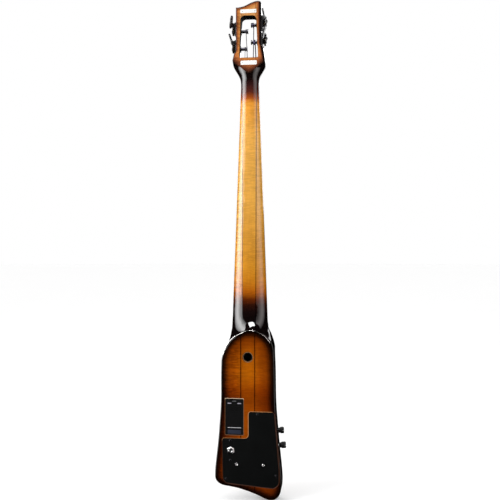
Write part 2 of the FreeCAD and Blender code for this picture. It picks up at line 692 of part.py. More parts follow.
def worm_shape():
    """The worm and its shaft along local +Z, with local zero at the level of the post."""
    lead, outer, root = worm_lead(), size("worm_radius"), size("worm_root")
    shaft = size("worm_shaft")
    front = size("tuner_front_y") - size("post_y")
    back = size("tuner_back_y") - size("post_y")
    lug = size("lug_thick") + 0.3
    start = -2.25 * lead
    path = Part.makeHelix(lead, 4.5 * lead, root)
    profile = Part.makePolygon([
        Vector(root - 0.3, 0, -0.85), Vector(outer, 0, -0.4), Vector(outer, 0, 0.4),
        Vector(root - 0.3, 0, 0.85), Vector(root - 0.3, 0, -0.85)])
    thread = Part.Wire(path).makePipeShell([profile], True, True)
    thread.translate(Vector(0, 0, start))
    foot = Vector(0, 0, front - 2.4)
    pieces = [
        Part.makeCylinder(root, back - front - 2 * lug, Vector(0, 0, front + lug)),
        Part.makeCylinder(shaft, size("key_start_y") + 4 - size("post_y") - foot.z, foot),
        Part.makeCylinder(shaft + 1.2, 2.2, foot),
    ]
    return pieces[0].fuse(pieces[1:] + [thread])


def gear_shape():
    """A spur wheel about local Z whose middle gap points along local +X, with its hub below."""
    teeth, outer, root = int(size("gear_teeth")), size("gear_radius"), size("gear_root")
    points = []
    for tooth in range(teeth):
        middle = (tooth + 0.5) * 2 * math.pi / teeth
        for radius, half_width in ((root, -1.0), (outer, -0.55), (outer, 0.55), (root, 1.0)):
            angle = middle + half_width / radius
            points.append(Vector(radius * math.cos(angle), radius * math.sin(angle), 0))
    face = Part.Face(Part.makePolygon(points + points[:1]))
    wheel = face.extrude(Vector(0, 0, size("gear_face")))
    hub = Part.makeCylinder(size("gear_hub"), 2.2, Vector(0, 0, -2.2))
    return wheel.fuse(hub)


def key_shape():
    """A two-lobed key on a short neck, its shaft hole along local Z."""
    half, thick = size("key_half"), size("key_thick")
    lobe = 7.8
    length = size("key_end_y") - size("key_start_y")
    pieces = [
        Part.makeCylinder(lobe, thick, Vector(0, side * (half - lobe), length - lobe), Vector(1, 0, 0))
        for side in (-1, 1)]
    web = Part.makeBox(thick, 2 * (half - lobe), lobe * 1.5, Vector(0, lobe - half, length - lobe * 1.75))
    blade = pieces[0].fuse([pieces[1], web]).removeSplitter()
    blade.translate(Vector(-thick / 2, 0, 0))
    blade = blade.makeFillet(1.4, blade.Edges)
    neck = Part.makeCone(4.4, 2.8, length - lobe * 1.2)
    socket = Part.makeCylinder(size("worm_shaft"), 4)
    return blade.fuse(neck).cut(socket)


def slotted_head(foot, side):
    """The head of the screw that holds a gear on its post."""
    head = Part.makeCone(4.6, 3.4, 2.0, foot, Vector(side, 0, 0))
    slot = Part.makeBox(3, 1.0, 12, foot + Vector(side * 2.4 - 1.5, -0.5, -6))
    return head.cut(slot)


def build_tuner(note, row):
    """One tuning machine: plate with two lugs, worm, key, post with its gear, and the gear's screw."""
    side, post_z = row["side"], row["post_z"]
    outwards = "X" if side > 0 else "-X"

    def out(text):
        return f"{side} * ({text})"

    def span(near, far):
        return (out(near), out(far)) if side > 0 else (out(far), out(near))

    heights = (f"{post_z} - tuner_plate_below", f"{post_z} + tuner_plate_above")
    plate = block(
        f"plate_{note}", span("head_half", "head_half + tuner_plate"),
        ("tuner_front_y", "tuner_back_y"), heights)
    worm_x, worm_z = out("head_half + worm_out"), f"{post_z} + worm_rise"
    lugs, bores = [], []
    for end, lug_y in (("front", "tuner_front_y"), ("back", "tuner_back_y - lug_thick")):
        lugs.append(block(
            f"lug_{end}_{note}", span("head_half + tuner_plate", "head_half + worm_out"),
            (lug_y, f"{lug_y} + lug_thick"), (f"{worm_z} - lug_height / 2", f"{worm_z} + lug_height / 2")))
        lugs.append(rod(f"lug_eye_{end}_{note}", (worm_x, lug_y, worm_z), "Y", "lug_height / 2", "lug_thick"))
    bores.append(rod(f"worm_bore_{note}", (worm_x, "tuner_front_y - 1", worm_z), "Y", "worm_bore", 40))
    bores.append(rod(f"plate_bore_{note}", (0, "post_y", post_z), outwards, "post_bore", 60))
    frame = cut(f"tuner_plate_{note}", fused(f"frame_{note}", plate, *lugs), group(f"bores_{note}", *bores))

    worm_at = Vector(number(worm_x), size("post_y"), number(worm_z))
    worm = feature(f"worm_shaft_{note}", worm_shape(), Placement(worm_at, TURN_TO["Y"]))
    key_at = Vector(worm_at.x, size("key_start_y"), worm_at.z)
    turned_key = Rotation(Vector(0, 1, 0), KEY_ANGLES[note]).multiply(TURN_TO["Y"])
    key = feature(f"tuning_key_{note}", key_shape(), Placement(key_at, turned_key))

    gear_near = size("head_half") + size("worm_out") - size("gear_face") / 2
    gear_axes = Rotation(Vector(0, 0, 1), Vector(0, -side, 0), Vector(side, 0, 0), "XYZ")
    gear_at = Vector(side * gear_near, size("post_y"), post_z)
    square = Part.makeCylinder(size("post_radius"), 20, Vector(0, 0, -10))
    gear = feature(f"tuner_gear_{note}", gear_shape().cut(square), Placement(gear_at, gear_axes))

    reach = f"head_half + worm_out + gear_face / 2 - ({side * row['tip_x']})"
    shaft = rod(f"shaft_{note}", (row["tip_x"], "post_y", post_z), outwards, "post_radius", reach)
    cap = rod(f"cap_{note}", (row["tip_x"], "post_y", post_z), outwards, "post_cap_radius", "post_cap")
    eye = rod(f"string_eye_{note}", (row["wind_x"] - side * 3, "post_y - 10", post_z), "Y", 0.9, 20)
    turned_post = cut(f"post_solid_{note}", fused(f"post_rod_{note}", shaft, cap), eye)
    face = size("head_half") + size("worm_out") + size("gear_face") / 2
    screw = feature(f"gear_screw_{note}", slotted_head(Vector(side * face, size("post_y"), post_z), side))
    post = group(f"string_post_{note}", turned_post, screw)
    return [frame, worm, key, gear, post]


def build_tuner_hardware():
    """Bushings in the head's cheeks and the screws that hold the plates."""
    bushings, screws = [], []
    for note, row in STRINGS.items():
        outwards = Vector(row["side"], 0, 0)
        centre = Vector(0, size("post_y"), row["post_z"])
        seat = slot_half(row["post_z"]) + 0.5
        flange = Part.makeCylinder(
            size("bushing_flange"), size("bushing_flange_thick"),
            centre + outwards * (seat - size("bushing_flange_thick")), outwards)
        tube = Part.makeCylinder(
            size("bushing_radius"), size("head_half") - seat, centre + outwards * seat, outwards)
        bore = Part.makeCylinder(size("post_bore"), size("head_half"), centre, outwards)
        bushings.append(flange.fuse(tube).cut(bore))
        face = size("head_half") + size("tuner_plate")
        for y, rise in ((-45.4, -8.8), (-20.6, -8.8)):
            foot = Vector(row["side"] * face, y, row["post_z"] + rise)
            screws.append(Part.makeCone(2.1, 1.2, 1.1, foot, outwards))
    return [
        feature("post_bushings", Part.makeCompound(bushings)),
        feature("tuner_screws", Part.makeCompound(screws)),
    ]


# ---------------------------------------------------------------- nut, bridge and tailpiece
def build_nut():
    half = size("board_half_top")
    blank = sketched(
        "nut_blank", "XZ_Plane", "-glue_y", 12.4,
        [(-half, "nut_z"), (half, "nut_z"), (half, "nut_z + nut_length"), (-half, "nut_z + nut_length")], 0.8)
    grooves = feature("nut_grooves", Part.makeCompound([string_shape(row, 0.04) for row in STRINGS.values()]))
    return cut("nut", blank, grooves)


def bridge_arc():
    """Centre level and radius of the arc that the strings lie on at the bridge."""
    inner_x, outer_x = size("string_spread_bridge"), 3 * size("string_spread_bridge")
    inner_y, outer_y = size("bridge_inner_y"), size("bridge_outer_y")
    centre = (outer_x ** 2 - inner_x ** 2 + outer_y ** 2 - inner_y ** 2) / (2 * (outer_y - inner_y))
    return centre, math.hypot(inner_x, inner_y - centre)


def bridge_top_shape():
    """The upper bridge: an arched saddle that thins towards the strings, open in the middle."""
    half, middle = size("bridge_half"), size("bridge_z")
    base = size("wheel_front_y") - size("wheel_thick") - 0.2
    centre, radius = bridge_arc()
    edge = half - 3
    crown = [Vector(x, centre - math.sqrt(radius ** 2 - x ** 2), 0) for x in (-edge, 0, edge)]
    low, high = Vector(-half, base, 0), Vector(half, base, 0)
    shoulder_low, shoulder_high = Vector(-half, base - 4, 0), Vector(half, base - 4, 0)
    foot_low, foot_high = Vector(-13, base, 0), Vector(13, base, 0)
    edges = [
        Part.makeLine(low, shoulder_low), Part.makeLine(shoulder_low, crown[0]), Part.Arc(*crown).toShape(),
        Part.makeLine(crown[2], shoulder_high), Part.makeLine(shoulder_high, high),
        Part.makeLine(high, foot_high), Part.Arc(foot_high, Vector(0, base - 5, 0), foot_low).toShape(),
        Part.makeLine(foot_low, low),
    ]
    slab = Part.Face(Part.Wire(edges)).extrude(Vector(0, 0, 40))
    slab.translate(Vector(0, 0, middle - 20))
    top = centre - radius
    thick, thin = size("bridge_thick_low") / 2, size("bridge_thick_high") / 2
    wedge = side_profile([
        (base, middle - thick), (top, middle - thin), (top, middle + thin), (base, middle + thick)])
    saddle = slab.common(wedge)
    bottom = size("stud_tip_y") - size("bridge_travel") - 0.6
    bore = size("stud_radius") + 0.4
    holes = [y_rod(side * size("stud_x"), middle, bore, bottom, base + 1) for side in (-1, 1)]
    return saddle.cut(holes + [bridge_groove(row) for row in STRINGS.values()])


def bridge_groove(row):
    """A groove whose walls run straight out, so that the bridge can be lowered off its string."""
    clear = 0.12
    half = row["diameter"] / 2 + clear
    rest = string_path(row)[2]
    mouth = Part.makeBox(2 * half, 10, 16, rest - Vector(half, 10, 8))
    return string_shape(row, clear).fuse(mouth)


def build_bridge():
    """Two-part bridge: foot on two pickups, studs, thumbwheels and the saddle they carry."""
    middle = size("bridge_z")
    foot_back = size("front_y") - size("pickup_thick")
    foot = sketched(
        "foot_blank", "XY_Plane", "bridge_z - 8", 16, [
            (-44, foot_back), (-44, "foot_y + 2"), (-40, "foot_y"), (40, "foot_y"), (44, "foot_y + 2"),
            (44, foot_back), (13, foot_back), (8, foot_back - 3), (-8, foot_back - 3), (-13, foot_back)], 0.6)
    stud_holes = group("stud_holes", *[
        rod(f"stud_hole_{place}", (f"{side} * stud_x", "foot_y - 2", "bridge_z"), "Y", "stud_radius", 6)
        for place, side in enumerate((-1, 1))])
    drilled = cut("bridge_foot", foot, stud_holes)
    studs = group("bridge_studs", *[
        rod(f"stud_{place}", (f"{side} * stud_x", "stud_tip_y", "bridge_z"), "Y", "stud_radius",
            "foot_y + 4 - stud_tip_y")
        for place, side in enumerate((-1, 1))])
    wheels = []
    for name, side in (("bridge_wheel_bass", -1), ("bridge_wheel_treble", 1)):
        bore = "stud_radius + 0.06"
        at = Placement(Vector(side * size("stud_x"), size("wheel_front_y"), middle), TURN_TO["-Y"])
        wheels.append(turned(name, [
            (bore, 0), ("wheel_radius - 0.6", 0), ("wheel_radius", 0.6),
            ("wheel_radius", "wheel_thick - 0.6"), ("wheel_radius - 0.6", "wheel_thick"),
            (bore, "wheel_thick")], at))
    pickups = group("pickups", *[
        rod(f"pickup_{place}", (f"{side} * stud_x", "front_y - pickup_thick", "bridge_z"), "Y", 7.5,
            "pickup_thick")
        for place, side in enumerate((-1, 1))])
    return [drilled, feature("bridge_top", bridge_top_shape()), studs, pickups] + wheels


def build_tailpiece():
    """A block on the front of the body with a slot and a ball pocket for each string."""
    blank = sketched(
        "tail_blank", "XZ_Plane", "-front_y", "front_y - tail_y", [
            ("-tail_half + 6", "tail_low_z"), ("tail_half - 6", "tail_low_z"),
            ("tail_half", "tail_low_z + 6"), ("tail_half", "tail_top_z"),
            ("-tail_half", "tail_top_z"), ("-tail_half", "tail_low_z + 6")], 1.5)
    spaces = []
    for row in STRINGS.values():
        x = row["lane"] * size("string_spread_bridge")
        width = row["diameter"] + 0.8
        spaces.append(Part.makeBox(width, 10, 30, Vector(x - width / 2, -60, -274)))
        spaces.append(Part.makeBox(6.4, 11.2, 7, Vector(x - 3.2, -61, -277.5)))
    places = [(x, -283) for x in (-22, 0, 22)]
    for x, z in places:
        spaces += [y_rod(x, z, 3.6, -60, -54), y_rod(x, z, 1.7, -56, -40)]
    tail = cut("tailpiece", blank, feature("tail_spaces", Part.makeCompound(spaces)))
    screws = [y_rod(x, z, 3.5, -56.2, -54).fuse(y_rod(x, z, 1.7, -54, -44)) for x, z in places]
    sockets = [Part.makeBox(1.0, 1.2, 5, Vector(x - 0.5, -56.8, z - 2.5)) for x, z in places]
    heads = [screw.cut(socket) for screw, socket in zip(screws, sockets)]
    return [tail, feature("tailpiece_screws", Part.makeCompound(heads))]


def build_truss_rod():
    """The adjustable rod under the fingerboard with its nut at the body end."""
    axis_y, nut_radius = -46, 3.0
    bar = Part.makeCylinder(2.6, 620, Vector(0, axis_y, 60))
    block_end = Part.makeBox(6, 6, 12, Vector(-3, axis_y - 3, 668))
    turns = [math.radians(60 * corner) for corner in range(6)]
    hexagon = [
        Vector(nut_radius * math.cos(turn), axis_y + nut_radius * math.sin(turn), 44) for turn in turns]
    nut = Part.Face(Part.makePolygon(hexagon + hexagon[:1])).extrude(Vector(0, 0, 16))
    return feature("truss_rod", Part.makeCompound([bar.fuse(block_end), nut]))


def build_labels():
    """Two blank plates on the back of the head, each held by two pins."""
    plates = []
    for height, half_height in LABEL_HEIGHTS.items():
        back = head_back(height)
        slope = math.degrees(math.atan(head_back(height + 1) - back))
        plate = Part.makeBox(41, 0.7, 2 * half_height, Vector(-20.5, 0, -half_height))
        plate = plate.makeFillet(1.6, [edge for edge in plate.Edges if edge.BoundBox.YLength > 0.5])
        plate.Placement = Placement(Vector(0, back, height), Rotation(Vector(1, 0, 0), -slope))
        plates.append(plate.cut(label_pins()))
    return feature("blank_plates", Part.makeCompound(plates + label_pins()))


# ---------------------------------------------------------------- body fittings
def build_stand_socket():
    at = Placement(Vector(0, -size("socket_length"), 0), TURN_TO["Y"])
    return turned("stand_socket", [
        ("socket_radius", 0), ("socket_outer", 0), ("socket_outer", "socket_length - 2.4"),
        ("socket_outer - 0.6", "socket_length"), ("socket_radius", "socket_length")], at)


def build_battery_bay():
    """The battery box with its hinged lid, sprung latch and battery."""
    x_mid, z_mid = size("battery_x"), size("battery_z")
    half_x, half_z = size("battery_half_x") - 0.15, size("battery_half_z") - 0.15
    flange = -size("battery_flange")
    lid_half, lid_high, hinge = size("lid_half_x"), size("lid_high_z"), size("lid_hinge_z")
    depth = size("battery_depth")
    shell = rounded_plate(rectangle_corners(x_mid, z_mid, half_x, half_z, 2), -depth, flange)
    pad = rounded_plate(rectangle_corners(x_mid, hinge - 9.5, lid_half - 0.6, 5.2, 1), flange, flange + 0.7)
    well = Part.makeBox(
        2 * lid_half + 0.7, depth, lid_high - hinge + 4,
        Vector(x_mid - lid_half - 0.35, -depth + 2, hinge - 3.6))
    grip = Part.makeBox(15, 3.4, 13, Vector(x_mid - 7.5, flange - 2.6, lid_high + 0.2))
    axle_y = flange - 1.6
    axle_radius = size("hinge_pin")
    axle = Part.makeCylinder(
        axle_radius + 0.06, 2 * lid_half + 4, Vector(x_mid - lid_half - 2, axle_y, hinge), Vector(1, 0, 0))
    box = feature("battery_box", shell.fuse(pad).cut([well, grip, axle]))

    thick = size("lid_thick")
    panel = Part.makeBox(
        2 * lid_half, thick, lid_high - hinge, Vector(x_mid - lid_half, flange - thick - 0.2, hinge))
    barrel = Part.makeCylinder(1.5, 2 * lid_half, Vector(x_mid - lid_half, axle_y, hinge), Vector(1, 0, 0))
    pins = Part.makeCylinder(
        axle_radius, 2 * lid_half + 3.4, Vector(x_mid - lid_half - 1.7, axle_y, hinge), Vector(1, 0, 0))
    ribs = [
        Part.makeBox(24, 0.6, 1.2, Vector(x_mid - 12, flange - 0.2, lid_high - 6 - 2.6 * step))
        for step in range(4)]
    lid = feature("battery_lid", panel.fuse([barrel, pins] + ribs))

    latch_plate = Part.makeBox(14.4, 1.6, 8.6, Vector(x_mid - 7.2, flange - 2.3, lid_high + 0.6))
    latch_grip = Part.makeBox(9, 1.2, 1.6, Vector(x_mid - 4.5, flange - 0.8, lid_high + 3.4))
    latch = feature("battery_latch", latch_plate.fuse(latch_grip))
    cell_space = Part.makeBox(26.5, 17.5, 48.5, Vector(x_mid - 13.25, -depth + 2.4, hinge + 4))
    cell = cell_space.makeFillet(2, [edge for edge in cell_space.Edges if edge.BoundBox.ZLength > 40])
    studs = [
        Part.makeCylinder(radius, 3, Vector(x_mid + side * 6.35, -depth + 11, hinge + 52.5))
        for side, radius in ((-1, 2.9), (1, 3.6))]
    return [box, lid, latch, feature("battery", cell.fuse(studs))]


def build_cover():
    """The L-shaped plate over the control cavity, drilled for its screws and jacks."""
    back = -size("cover_sunk")
    plate = rounded_plate(COVER_CORNERS, back - size("cover_thick"), back, inset=0.25)
    boxes = [(edge, edge.BoundBox) for edge in plate.Edges]
    rim = [edge for edge, box in boxes if max(abs(box.YMin - back), abs(box.YMax - back)) < 0.01]
    plate = plate.makeFillet(0.7, rim)
    holes = [y_rod(x, z, 3.1, back - 1.6, back + 1).fuse(y_rod(x, z, 1.6, -5, 0)) for x, z in COVER_SCREWS]
    holes.append(y_rod(size("jack_x"), size("jack_z"), size("jack_barrel"), -5, 0))
    holes += [y_rod(size(x), size("mini_z"), size("mini_barrel"), -5, 0) for x in ("phones_x", "aux_x")]
    screws = []
    for x, z in COVER_SCREWS:
        head = Part.makeCone(2.9, 3.0, 1.6, Vector(x, back - 1.6, z), Vector(0, 1, 0))
        shank = y_rod(x, z, 1.4, back - 10, back - 1.5)
        cross = [
            Part.makeBox(wide, 1.0, high, Vector(x - wide / 2, back - 0.7, z - high / 2))
            for wide, high in ((3.4, 0.8), (0.8, 3.4))]
        screws.append(head.fuse(shank).cut(cross))
    return [feature("control_cover", plate.cut(holes)), feature("cover_screws", Part.makeCompound(screws))]


def jack(name, x, z, bore, barrel, nut, length, nut_thick):
    """A jack through the cover: barrel, ring nut and a closed inner end, mouth at the flat back's side."""
    depth = f"{length} - cover_sunk"
    at = Placement(Vector(size(x), -size("cover_sunk") - number(length), size(z)), TURN_TO["Y"])
    top = f"{length} + {nut_thick}"
    return turned(name, [
        (0, -2), (f"{barrel} + 1.4", -2), (f"{barrel} + 1.4", f"{depth} - cover_thick"),
        (barrel, f"{depth} - cover_thick"), (barrel, length), (nut, length), (nut, f"{top} - 0.6"),
        (f"{nut} - 0.8", top), (f"{barrel} + 0.3", top), (f"{barrel} + 0.1", f"{top} + 0.8"),
        (f"{bore} + 0.5", f"{top} + 0.8"), (bore, f"{top} + 0.3"), (bore, 0), (0, 0)], at)


def build_jacks():
    mini = ("mini_z", "mini_bore", "mini_barrel", "mini_nut", "mini_length", 1.6)
    return [
        jack("output_jack", "jack_x", "jack_z", "jack_bore", "jack_barrel", "jack_nut", "jack_length", 2.4),
        jack("phones_jack", "phones_x", *mini),
        jack("aux_jack", "aux_x", *mini),
    ]


def along_wall(height, depth):
    """A placement on a knob's axis: depth inside the wall, local Z pointing out of it."""
    return Placement(wall_point(height) - wall_normal() * depth, Rotation(Vector(0, 0, 1), wall_normal()))


def build_side_controls():
    """Two potentiometers in the bass side's wall, each with its shaft and knob."""
    pots, knobs = [], []
    for name, alias in (("volume", "volume_z"), ("tone", "tone_z")):
        height = size(alias)
        at_pot = along_wall(height, size("pot_depth"))
        can = turned(f"{name}_pot", [
            (0, -8), (7.6, -8), (8, -7.6), (8, -0.4), (7.6, 0), (5, 0), (5, 1.6), (3.5, 1.6), (3.5, 7.6),
            ("shaft_radius + 0.06", 7.6), ("shaft_radius + 0.06", 0.5), (0, 0.5)], at_pot)
        pots.append(can)
        shaft = turned(f"{name}_shaft", [
            (0, 0.8), ("shaft_radius", 0.8), ("shaft_radius", 17.4), (0, 17.4)], at_pot)
        shell = turned(f"{name}_cap", [
            ("shaft_radius", 0), ("knob_radius - 0.3", 0), ("knob_radius", 0.4),
            ("knob_radius", "knob_length - 1.6"), ("knob_radius - 0.5", "knob_length - 0.5"),
            ("knob_radius - 1.8", "knob_length"), (0, "knob_length"),
            (0, 8.4), ("shaft_radius", 8.4)], along_wall(height, -size("knob_gap")))
        knobs.append(group(f"{name}_knob", shell, shaft))
    return [group("pots", *pots)] + knobs


def build_electronics():
    """The preamp board in the control cavity and the leads to the jacks, pots and battery."""
    board = block("board_panel", (-40, 10), (-30, -28.4), (-266, -216))
    chips = [
        block("board_chip_1", (-30, -20), (-28.4, -25.6), (-234, -224)),
        block("board_chip_2", (-10, -2), (-28.4, -25.6), (-234, -224)),
        rod("board_can_1", (-30, -28.4, -248), "Y", 4, 11),
        rod("board_can_2", (-18, -28.4, -250), "Y", 3.2, 9),
        rod("board_can_3", (0, -28.4, -248), "Y", 4, 11),
        block("board_plug_1", (-34, -22), (-28.4, -22), (-262, -257)),
        block("board_plug_2", (-10, 4), (-28.4, -22), (-262, -257)),
    ]
    preamp = fused("preamp_board", board, *chips)
    leads = [
        bent_rod([Vector(11, -26.5, -232), Vector(24, -21, -236), Vector(35, -20, -237)], 0.9),
        bent_rod([Vector(-2, -24, -263.2), Vector(10, -19, -268), Vector(22.4, -14, -271)], 0.8),
        bent_rod([Vector(-27, -24, -263.2), Vector(-30, -18, -268), Vector(-33.5, -14, -271)], 0.8),
        bent_rod([Vector(-36, -27.2, -215), Vector(-44, -24, -198), Vector(-51, -21, -190)], 0.8),
        bent_rod([Vector(-41, -26, -230), Vector(-46, -24, -229), Vector(-55, -21, -227)], 0.8),
    ]
    return [preamp, feature("wiring", Part.makeCompound(leads))]


# ---------------------------------------------------------------- assembly and export
def build_all():
    """Every sub-part of the instrument, each under the name of its node."""
    parts = build_timber() + [build_top_plate()] + build_fingerboard() + build_strings()
    for note, row in STRINGS.items():
        parts += build_tuner(note, row)
    parts += build_tuner_hardware() + [build_nut()] + build_bridge() + build_tailpiece()
    parts += [build_truss_rod(), build_labels(), build_stand_socket()] + build_battery_bay() + build_cover()
    parts += build_jacks() + build_side_controls() + build_electronics()
    return parts


def failures():
    """Names of objects that did not recompute."""
    return [item.Name for item in DOCUMENT.Objects if {"Invalid", "Error"} & set(item.State)]


def export(parts):
    os.makedirs("parts", exist_ok=True)
    for part in parts:
        if part.Shape.isNull() or not part.Shape.isValid():
            raise ValueError(f"{part.Label} has no valid shape")
        print(f"{part.Label:24s} {len(part.Shape.Solids):3d} solids {part.Shape.Volume / 1000:10.2f} cm3")
    for part in parts:
        part.Shape.exportStep(f"parts/{part.Label}.step")


fill_sheet()
PARTS = build_all()
DOCUMENT.recompute()
if failures():
    raise ValueError("did not recompute: " + ", ".join(failures()))
export(PARTS)
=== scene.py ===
"""Looks for a solid-body electric upright bass: shaded flamed maple under gloss lacquer, black hardware,
wound strings. Metres; +Z up the neck, +Y out of the flat back, the strings face -Y."""

import json
import math

import bmesh
import bpy
from mathutils import Matrix, Vector


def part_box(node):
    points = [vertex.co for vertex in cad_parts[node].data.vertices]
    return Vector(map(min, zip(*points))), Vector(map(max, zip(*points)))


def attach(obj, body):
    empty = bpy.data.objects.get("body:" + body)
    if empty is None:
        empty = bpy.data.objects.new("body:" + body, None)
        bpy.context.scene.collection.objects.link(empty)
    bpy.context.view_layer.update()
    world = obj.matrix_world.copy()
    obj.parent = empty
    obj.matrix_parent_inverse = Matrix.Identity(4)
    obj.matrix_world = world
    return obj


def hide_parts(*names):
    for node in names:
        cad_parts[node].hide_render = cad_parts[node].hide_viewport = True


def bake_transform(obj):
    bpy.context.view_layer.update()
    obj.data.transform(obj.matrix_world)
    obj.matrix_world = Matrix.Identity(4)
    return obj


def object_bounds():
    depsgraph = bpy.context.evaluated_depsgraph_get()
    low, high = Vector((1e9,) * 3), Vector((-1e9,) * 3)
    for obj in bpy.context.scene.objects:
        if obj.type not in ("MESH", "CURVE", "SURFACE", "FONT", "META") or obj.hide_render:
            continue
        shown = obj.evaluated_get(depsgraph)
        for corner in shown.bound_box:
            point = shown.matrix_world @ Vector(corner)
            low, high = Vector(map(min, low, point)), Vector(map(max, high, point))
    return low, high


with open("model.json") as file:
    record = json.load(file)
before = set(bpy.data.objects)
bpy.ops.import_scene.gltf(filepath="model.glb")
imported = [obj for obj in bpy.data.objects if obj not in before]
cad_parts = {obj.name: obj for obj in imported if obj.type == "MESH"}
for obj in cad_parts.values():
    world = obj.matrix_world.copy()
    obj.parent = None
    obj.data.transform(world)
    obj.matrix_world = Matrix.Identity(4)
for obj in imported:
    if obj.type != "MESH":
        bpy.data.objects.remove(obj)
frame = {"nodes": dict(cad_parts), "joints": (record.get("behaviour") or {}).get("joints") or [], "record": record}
CAD_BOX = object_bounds()
NODES = frame["nodes"]
JOINTS = {joint["name"]: joint for joint in frame["joints"]}
MM = 0.001

# ---- shader graphs


class Shade:
    """One material and the nodes that are added to it. Places are in millimetres of the row frame."""

    def __init__(self, name, **constants):
        self.material = bpy.data.materials.new(name)
        self.material.use_nodes = True
        self.tree = self.material.node_tree
        self.shader = self.tree.nodes["Principled BSDF"]
        for socket, value in constants.items():
            self.shader.inputs[socket.replace("_", " ")].default_value = value
        source = self.add("TexCoord")
        self.place = self.vector("SCALE", source.outputs["Object"], scale=1000.0)
        split = self.add("SeparateXYZ")
        self.link(self.place, split.inputs[0])
        self.x, self.y, self.z = split.outputs

    def add(self, kind):
        return self.tree.nodes.new("ShaderNode" + kind)

    def link(self, value, socket):
        if isinstance(value, bpy.types.NodeSocket):
            self.tree.links.new(value, socket)
        else:
            socket.default_value = value

    def link_all(self, values, sockets):
        for value, socket in zip(values, sockets):
            self.link(value, socket)

    def math(self, operation, *values):
        node = self.add("Math")
        node.operation = operation
        self.link_all(values, node.inputs)
        return node.outputs[0]

    def plus(self, first, second):
        return self.math("ADD", first, second)

    def minus(self, first, second):
        return self.math("SUBTRACT", first, second)

    def times(self, first, second):
        return self.math("MULTIPLY", first, second)

    def vector(self, operation, *values, scale=None):
        node = self.add("VectorMath")
        node.operation = operation
        self.link_all(values, node.inputs)
        if scale is not None:
            node.inputs["Scale"].default_value = scale
        return node.outputs["Value" if operation == "LENGTH" else "Vector"]

    def step(self, value, low, high):
        """0 below low, 1 above high, smooth between."""
        node = self.add("MapRange")
        node.interpolation_type = "SMOOTHSTEP"
        self.link(value, node.inputs["Value"])
        self.link(low, node.inputs["From Min"])
        self.link(high, node.inputs["From Max"])
        return node.outputs["Result"]

    def curve(self, value, points):
        """A straight-line graph through (input, output) points."""
        low, high = points[0][0], points[-1][0]
        levels = [level for _, level in points]
        base, span = min(levels), max(levels) - min(levels)
        along = self.math("DIVIDE", self.minus(value, low), high - low)
        node = self.add("FloatCurve")
        graph = node.mapping.curves[0]
        fitted = [((place - low) / (high - low), (level - base) / span) for place, level in points]
        graph.points[0].location, graph.points[1].location = fitted[0], fitted[-1]
        for at in fitted[1:-1]:
            graph.points.new(*at)
        for point in graph.points:
            point.handle_type = "VECTOR"
        node.mapping.update()
        self.link(along, node.inputs["Value"])
        return self.plus(self.times(node.outputs[0], span), base)

    def noise(self, stretch, detail=3.0, roughness=0.55, distortion=0.0, shift=0.0):
        """Noise between about 0 and 1; stretch is the number of features per millimetre along x, y and z."""
        node = self.add("TexNoise")
        node.noise_dimensions = "3D"
        scaled = self.vector("MULTIPLY", self.place, stretch)
        self.link(self.vector("ADD", scaled, (shift, shift * 1.7, shift * 0.6)), node.inputs["Vector"])
        node.inputs["Scale"].default_value = 1.0
        node.inputs["Detail"].default_value = detail
        node.inputs["Roughness"].default_value = roughness
        node.inputs["Distortion"].default_value = distortion
        return node.outputs["Fac"]

    def ramp(self, value, stops):
        """Colours along a value; stops are (value, colour)."""
        low, high = stops[0][0], stops[-1][0]
        node = self.add("ValToRGB")
        band = node.color_ramp
        while len(band.elements) < len(stops):
            band.elements.new(0.5)
        for element, (at, colour) in zip(band.elements, stops):
            element.position = (at - low) / (high - low)
            element.color = (*colour, 1)
        self.link(self.math("DIVIDE", self.minus(value, low), high - low), node.inputs["Fac"])
        return node.outputs["Color"]

    def mix(self, factor, first, second, blend="MIX"):
        node = self.add("Mix")
        node.data_type = "RGBA"
        node.blend_type = blend
        self.link(factor, node.inputs["Factor"])
        for value, name in ((first, "A"), (second, "B")):
            socket = [item for item in node.inputs if item.name == name and item.type == "RGBA"][0]
            self.link(value if isinstance(value, bpy.types.NodeSocket) else (*value, 1), socket)
        return [item for item in node.outputs if item.type == "RGBA"][0]

    def bump(self, height, strength, depth_mm, target="Normal"):
        node = self.add("Bump")
        node.inputs["Strength"].default_value = strength
        node.inputs["Distance"].default_value = depth_mm * MM
        self.link(height, node.inputs["Height"])
        self.link(node.outputs["Normal"], self.shader.inputs[target])

    def colour(self, value):
        self.link(value, self.shader.inputs["Base Color"])

    def rough(self, value):
        self.link(value, self.shader.inputs["Roughness"])

    def grey(self, value):
        """A number as a grey colour."""
        node = self.add("CombineColor")
        for socket in node.inputs[:3]:
            self.link(value, socket)
        return node.outputs[0]


def around(shade, x, z):
    """Distance in millimetres from an axis along Y."""
    off = shade.vector("SUBTRACT", shade.place, (x, 0, z))
    return shade.vector("LENGTH", shade.vector("MULTIPLY", off, (1, 0, 1)))


# ---- timber
# Half-widths of the flat back and the levels of its lower and upper edges, in millimetres.
EDGE_PLUS = [
    (-358, 20), (-328, 46), (-320, 74), (-312.6, 81), (-297.5, 83.8), (-272, 82.4), (-221.8, 76.7),
    (-161, 71.6), (-108, 68.6), (-60, 68.5), (-10, 67.4), (5, 63.5), (20, 58), (36, 49), (50, 36), (60, 18),
    (66, 2)]
EDGE_MINUS = [
    (-358, 58), (-355, 70.5), (-346, 79.3), (-331, 84.1), (-305, 85.1), (-267, 81.9), (-230, 78),
    (-170, 72.7), (-123, 69.2), (-70, 68), (-10, 66.6), (5, 65.5), (20, 63), (36, 57), (50, 46), (60, 31),
    (66, 16)]
LOWER_EDGE = [
    (-85, -310), (-79, -345), (-70, -355), (-59, -358.5), (-47, -356.4), (-32.5, -350.4), (-14, -343),
    (9, -335.3), (45, -327.7), (74, -320.2), (81, -312), (84, -300)]
